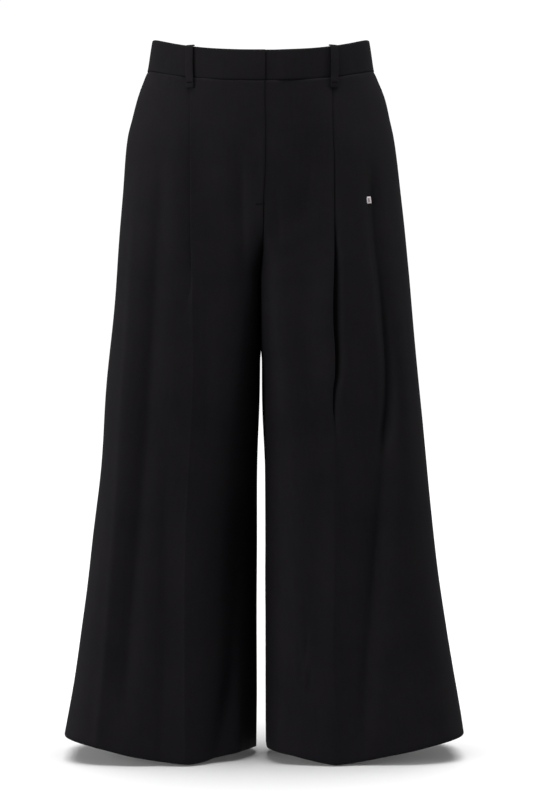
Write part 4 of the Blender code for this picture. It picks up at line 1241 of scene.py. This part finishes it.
def makeThread(name, spec):
    # Spun polyester sewing thread: black, two plies twisted, a little glossier than wool
    stuff, tree = newMaterial(name)
    place = addNode(tree, "ShaderNodeTexCoord")
    twist = {"Scale": 1 / spec["ply"], "Detail": 2.0}
    ply = addNode(tree, "ShaderNodeTexNoise", None, twist, {"Vector": place.outputs["Object"]})
    ramp = addNode(tree, "ShaderNodeValToRGB", links={"Fac": ply.outputs["Fac"]})
    for stop, colour in zip(ramp.color_ramp.elements, ("dark", "light")):
        stop.color = hexColour(spec[colour])
    pliesUp = {"Strength": 0.3, "Distance": 0.0001}
    bump = addNode(tree, "ShaderNodeBump", None, pliesUp, {"Height": ply.outputs["Fac"]})
    shader = addNode(
        tree,
        "ShaderNodeBsdfPrincipled",
        inputs={"Roughness": 0.7, "IOR": 1.5, "Specular IOR Level": 0.08},
        links={"Base Color": ramp.outputs["Color"], "Normal": bump.outputs["Normal"]},
    )
    addNode(tree, "ShaderNodeOutputMaterial", links={"Surface": shader.outputs["BSDF"]})
    return stuff


def addCapsule(bm, centre, along, across, normal, size):
    # One stitch: a small rounded bar, its three half sizes along, across and off the cloth
    verts = bmesh.ops.create_icosphere(bm, subdivisions=2, radius=1.0)["verts"]
    axes = Matrix((along * size[0], across * size[1], normal * size[2])).transposed().to_4x4()
    bmesh.ops.transform(bm, matrix=Matrix.Translation(centre) @ axes, verts=verts)


def barTack(bm, base, normal, along, across, long, wall):
    count = int(long / tackSpec["pitch"])
    for i in range(count):
        s = (i - (count - 1) / 2) * tackSpec["pitch"]
        skew = tackSpec["skew"] * math.sin(7.0 * i)
        centre = base + along * s + across * skew + normal * (wall / 2 + tackSpec["stitch"][2] * 0.6)
        addCapsule(bm, centre, Vector(along), Vector(across), Vector(normal), tackSpec["stitch"])


def gridFrame(points, row, column, outwards):
    # A place on a grid, with its normal and the directions along and across its row
    base = points[row, column]
    along = points[row, column + 1] - points[row, column - 1]
    down = points[row + 1, column] - points[row - 1, column]
    along = along / np.linalg.norm(along)
    normal = np.cross(along, down)
    normal /= np.linalg.norm(normal)
    across = np.cross(normal, along)
    return base, normal if np.dot(normal, outwards) > 0 else -normal, along, across


tacks = bmesh.new()
flyTack = frameOn(panels["front_right"]["points"], *tackSpec["fly"], 0)
barTack(tacks, *flyTack, tackSpec["flyLong"], cloth["wall"])
for side in sides:
    points = panels[f"front_{side}"]["points"]
    column = points.shape[1] + tackSpec["mouthColumn"]
    for level in tackSpec["mouthLevels"]:
        row = int(np.argmin(np.abs(points[:, column, 2] - level)))
        onMouth = gridFrame(points, row, column, (sides[side], 0, 0))
        barTack(tacks, *onMouth, tackSpec["mouthLong"], cloth["wall"])
for name, (side, face, _, _) in loopSpec["places"].items():
    points = panels[name]["points"]
    row = len(points) + tackSpec["loopRow"]
    onLoop = gridFrame(points, row, points.shape[1] // 2, (0, -faces[face], 0))
    barTack(tacks, *onLoop, tackSpec["loopLong"], loopSpec["wall"])
thread = makeThread("spun_polyester_thread", tackSpec)
tackPiece = newPiece("bar_tacks", tacks, [], thread)
print("bar tacks made:", len(tackPiece.data.polygons), "faces")


# Camera, light and floor

studio = {
    "distance": 2.8,
    "cameraHeight": -0.387,
    "centre": (0.007, -0.437),
    "lens": 98.4,  # mm
    "floor": -0.8905,
    "floorHalf": 14,
    "backdrop": 1.05,
    "ambient": 0.20,
    "overhead": {"power": 3.5, "spread": 60, "tilt": -3},  # degrees
    "aim": (0, 0, -0.50),
    "lamps": {  # place, size and power
        "key": ((-2.65, -2.55, -0.50), (2.3, 2.6), 76),
        "fill": ((3.5, -0.25, -0.50), (1.2, 2.6), 33),
        "rim": ((-3.3, 0.6, -0.50), (0.9, 2.4), 24),
    },
}


def addCamera():
    data = bpy.data.cameras.new("camera")
    data.sensor_width = 36
    data.lens = studio["lens"]
    camera = bpy.data.objects.new("camera", data)
    x, z = studio["centre"]
    camera.location = (x, -studio["distance"], studio["cameraHeight"])
    aim = Vector((x, 0, z)) - camera.location
    camera.rotation_euler = aim.to_track_quat("-Z", "Y").to_euler()
    bpy.context.scene.collection.objects.link(camera)
    bpy.context.scene.camera = camera


def addLight(name, place, size, power):
    data = bpy.data.lights.new(name, "AREA")
    data.shape = "RECTANGLE"
    data.size, data.size_y = size
    data.energy = power
    lamp = bpy.data.objects.new(name, data)
    lamp.location = place
    lamp.rotation_euler = (Vector(studio["aim"]) - Vector(place)).to_track_quat("-Z", "Y").to_euler()
    bpy.context.scene.collection.objects.link(lamp)


def addOverhead():  # soft light from above, which whitens the floor and shades it under the hems
    data = bpy.data.lights.new("overhead", "SUN")
    data.energy = studio["overhead"]["power"]
    data.angle = math.radians(studio["overhead"]["spread"])
    lamp = bpy.data.objects.new("overhead", data)
    lamp.location = (0, 1, 3)
    lamp.rotation_euler = (math.radians(studio["overhead"]["tilt"]), 0, 0)
    bpy.context.scene.collection.objects.link(lamp)


def addFloor():
    bm = bmesh.new()
    bmesh.ops.create_grid(bm, x_segments=2, y_segments=2, size=studio["floorHalf"])
    bmesh.ops.translate(bm, verts=bm.verts[:], vec=(0, 0, studio["floor"]))
    mesh = bpy.data.meshes.new("floor")
    bm.to_mesh(mesh)
    bm.free()
    stuff, tree = newMaterial("matt_white_paper")
    shader = addNode(
        tree,
        "ShaderNodeBsdfPrincipled",
        inputs={"Base Color": (0.92, 0.92, 0.92, 1), "Roughness": 0.9, "Specular IOR Level": 0.1},
    )
    addNode(tree, "ShaderNodeOutputMaterial", links={"Surface": shader.outputs["BSDF"]})
    mesh.materials.append(stuff)
    floor = bpy.data.objects.new("floor", mesh)
    bpy.context.scene.collection.objects.link(floor)
    floor.visible_diffuse = False  # a white floor would wash the black cloth out
    floor.visible_glossy = False


def addWorld():
    world = bpy.data.worlds.new("studio")
    bpy.context.scene.world = world
    world.use_nodes = True
    tree = world.node_tree
    tree.nodes.clear()
    white = (1, 1, 1, 1)
    seen = addNode(tree, "ShaderNodeBackground", None, {"Color": white, "Strength": studio["backdrop"]})
    lit = addNode(tree, "ShaderNodeBackground", None, {"Color": white, "Strength": studio["ambient"]})
    path = addNode(tree, "ShaderNodeLightPath")
    shares = {0: path.outputs["Is Camera Ray"], 1: lit.outputs["Background"], 2: seen.outputs["Background"]}
    both = addNode(tree, "ShaderNodeMixShader", links=shares)
    addNode(tree, "ShaderNodeOutputWorld", links={"Surface": both.outputs["Shader"]})


addCamera()
addWorld()
addFloor()
for name, lamp in studio["lamps"].items():
    addLight(name, *lamp)
addOverhead()
bpy.context.scene.view_settings.view_transform = "Standard"
print("camera, light and floor set")
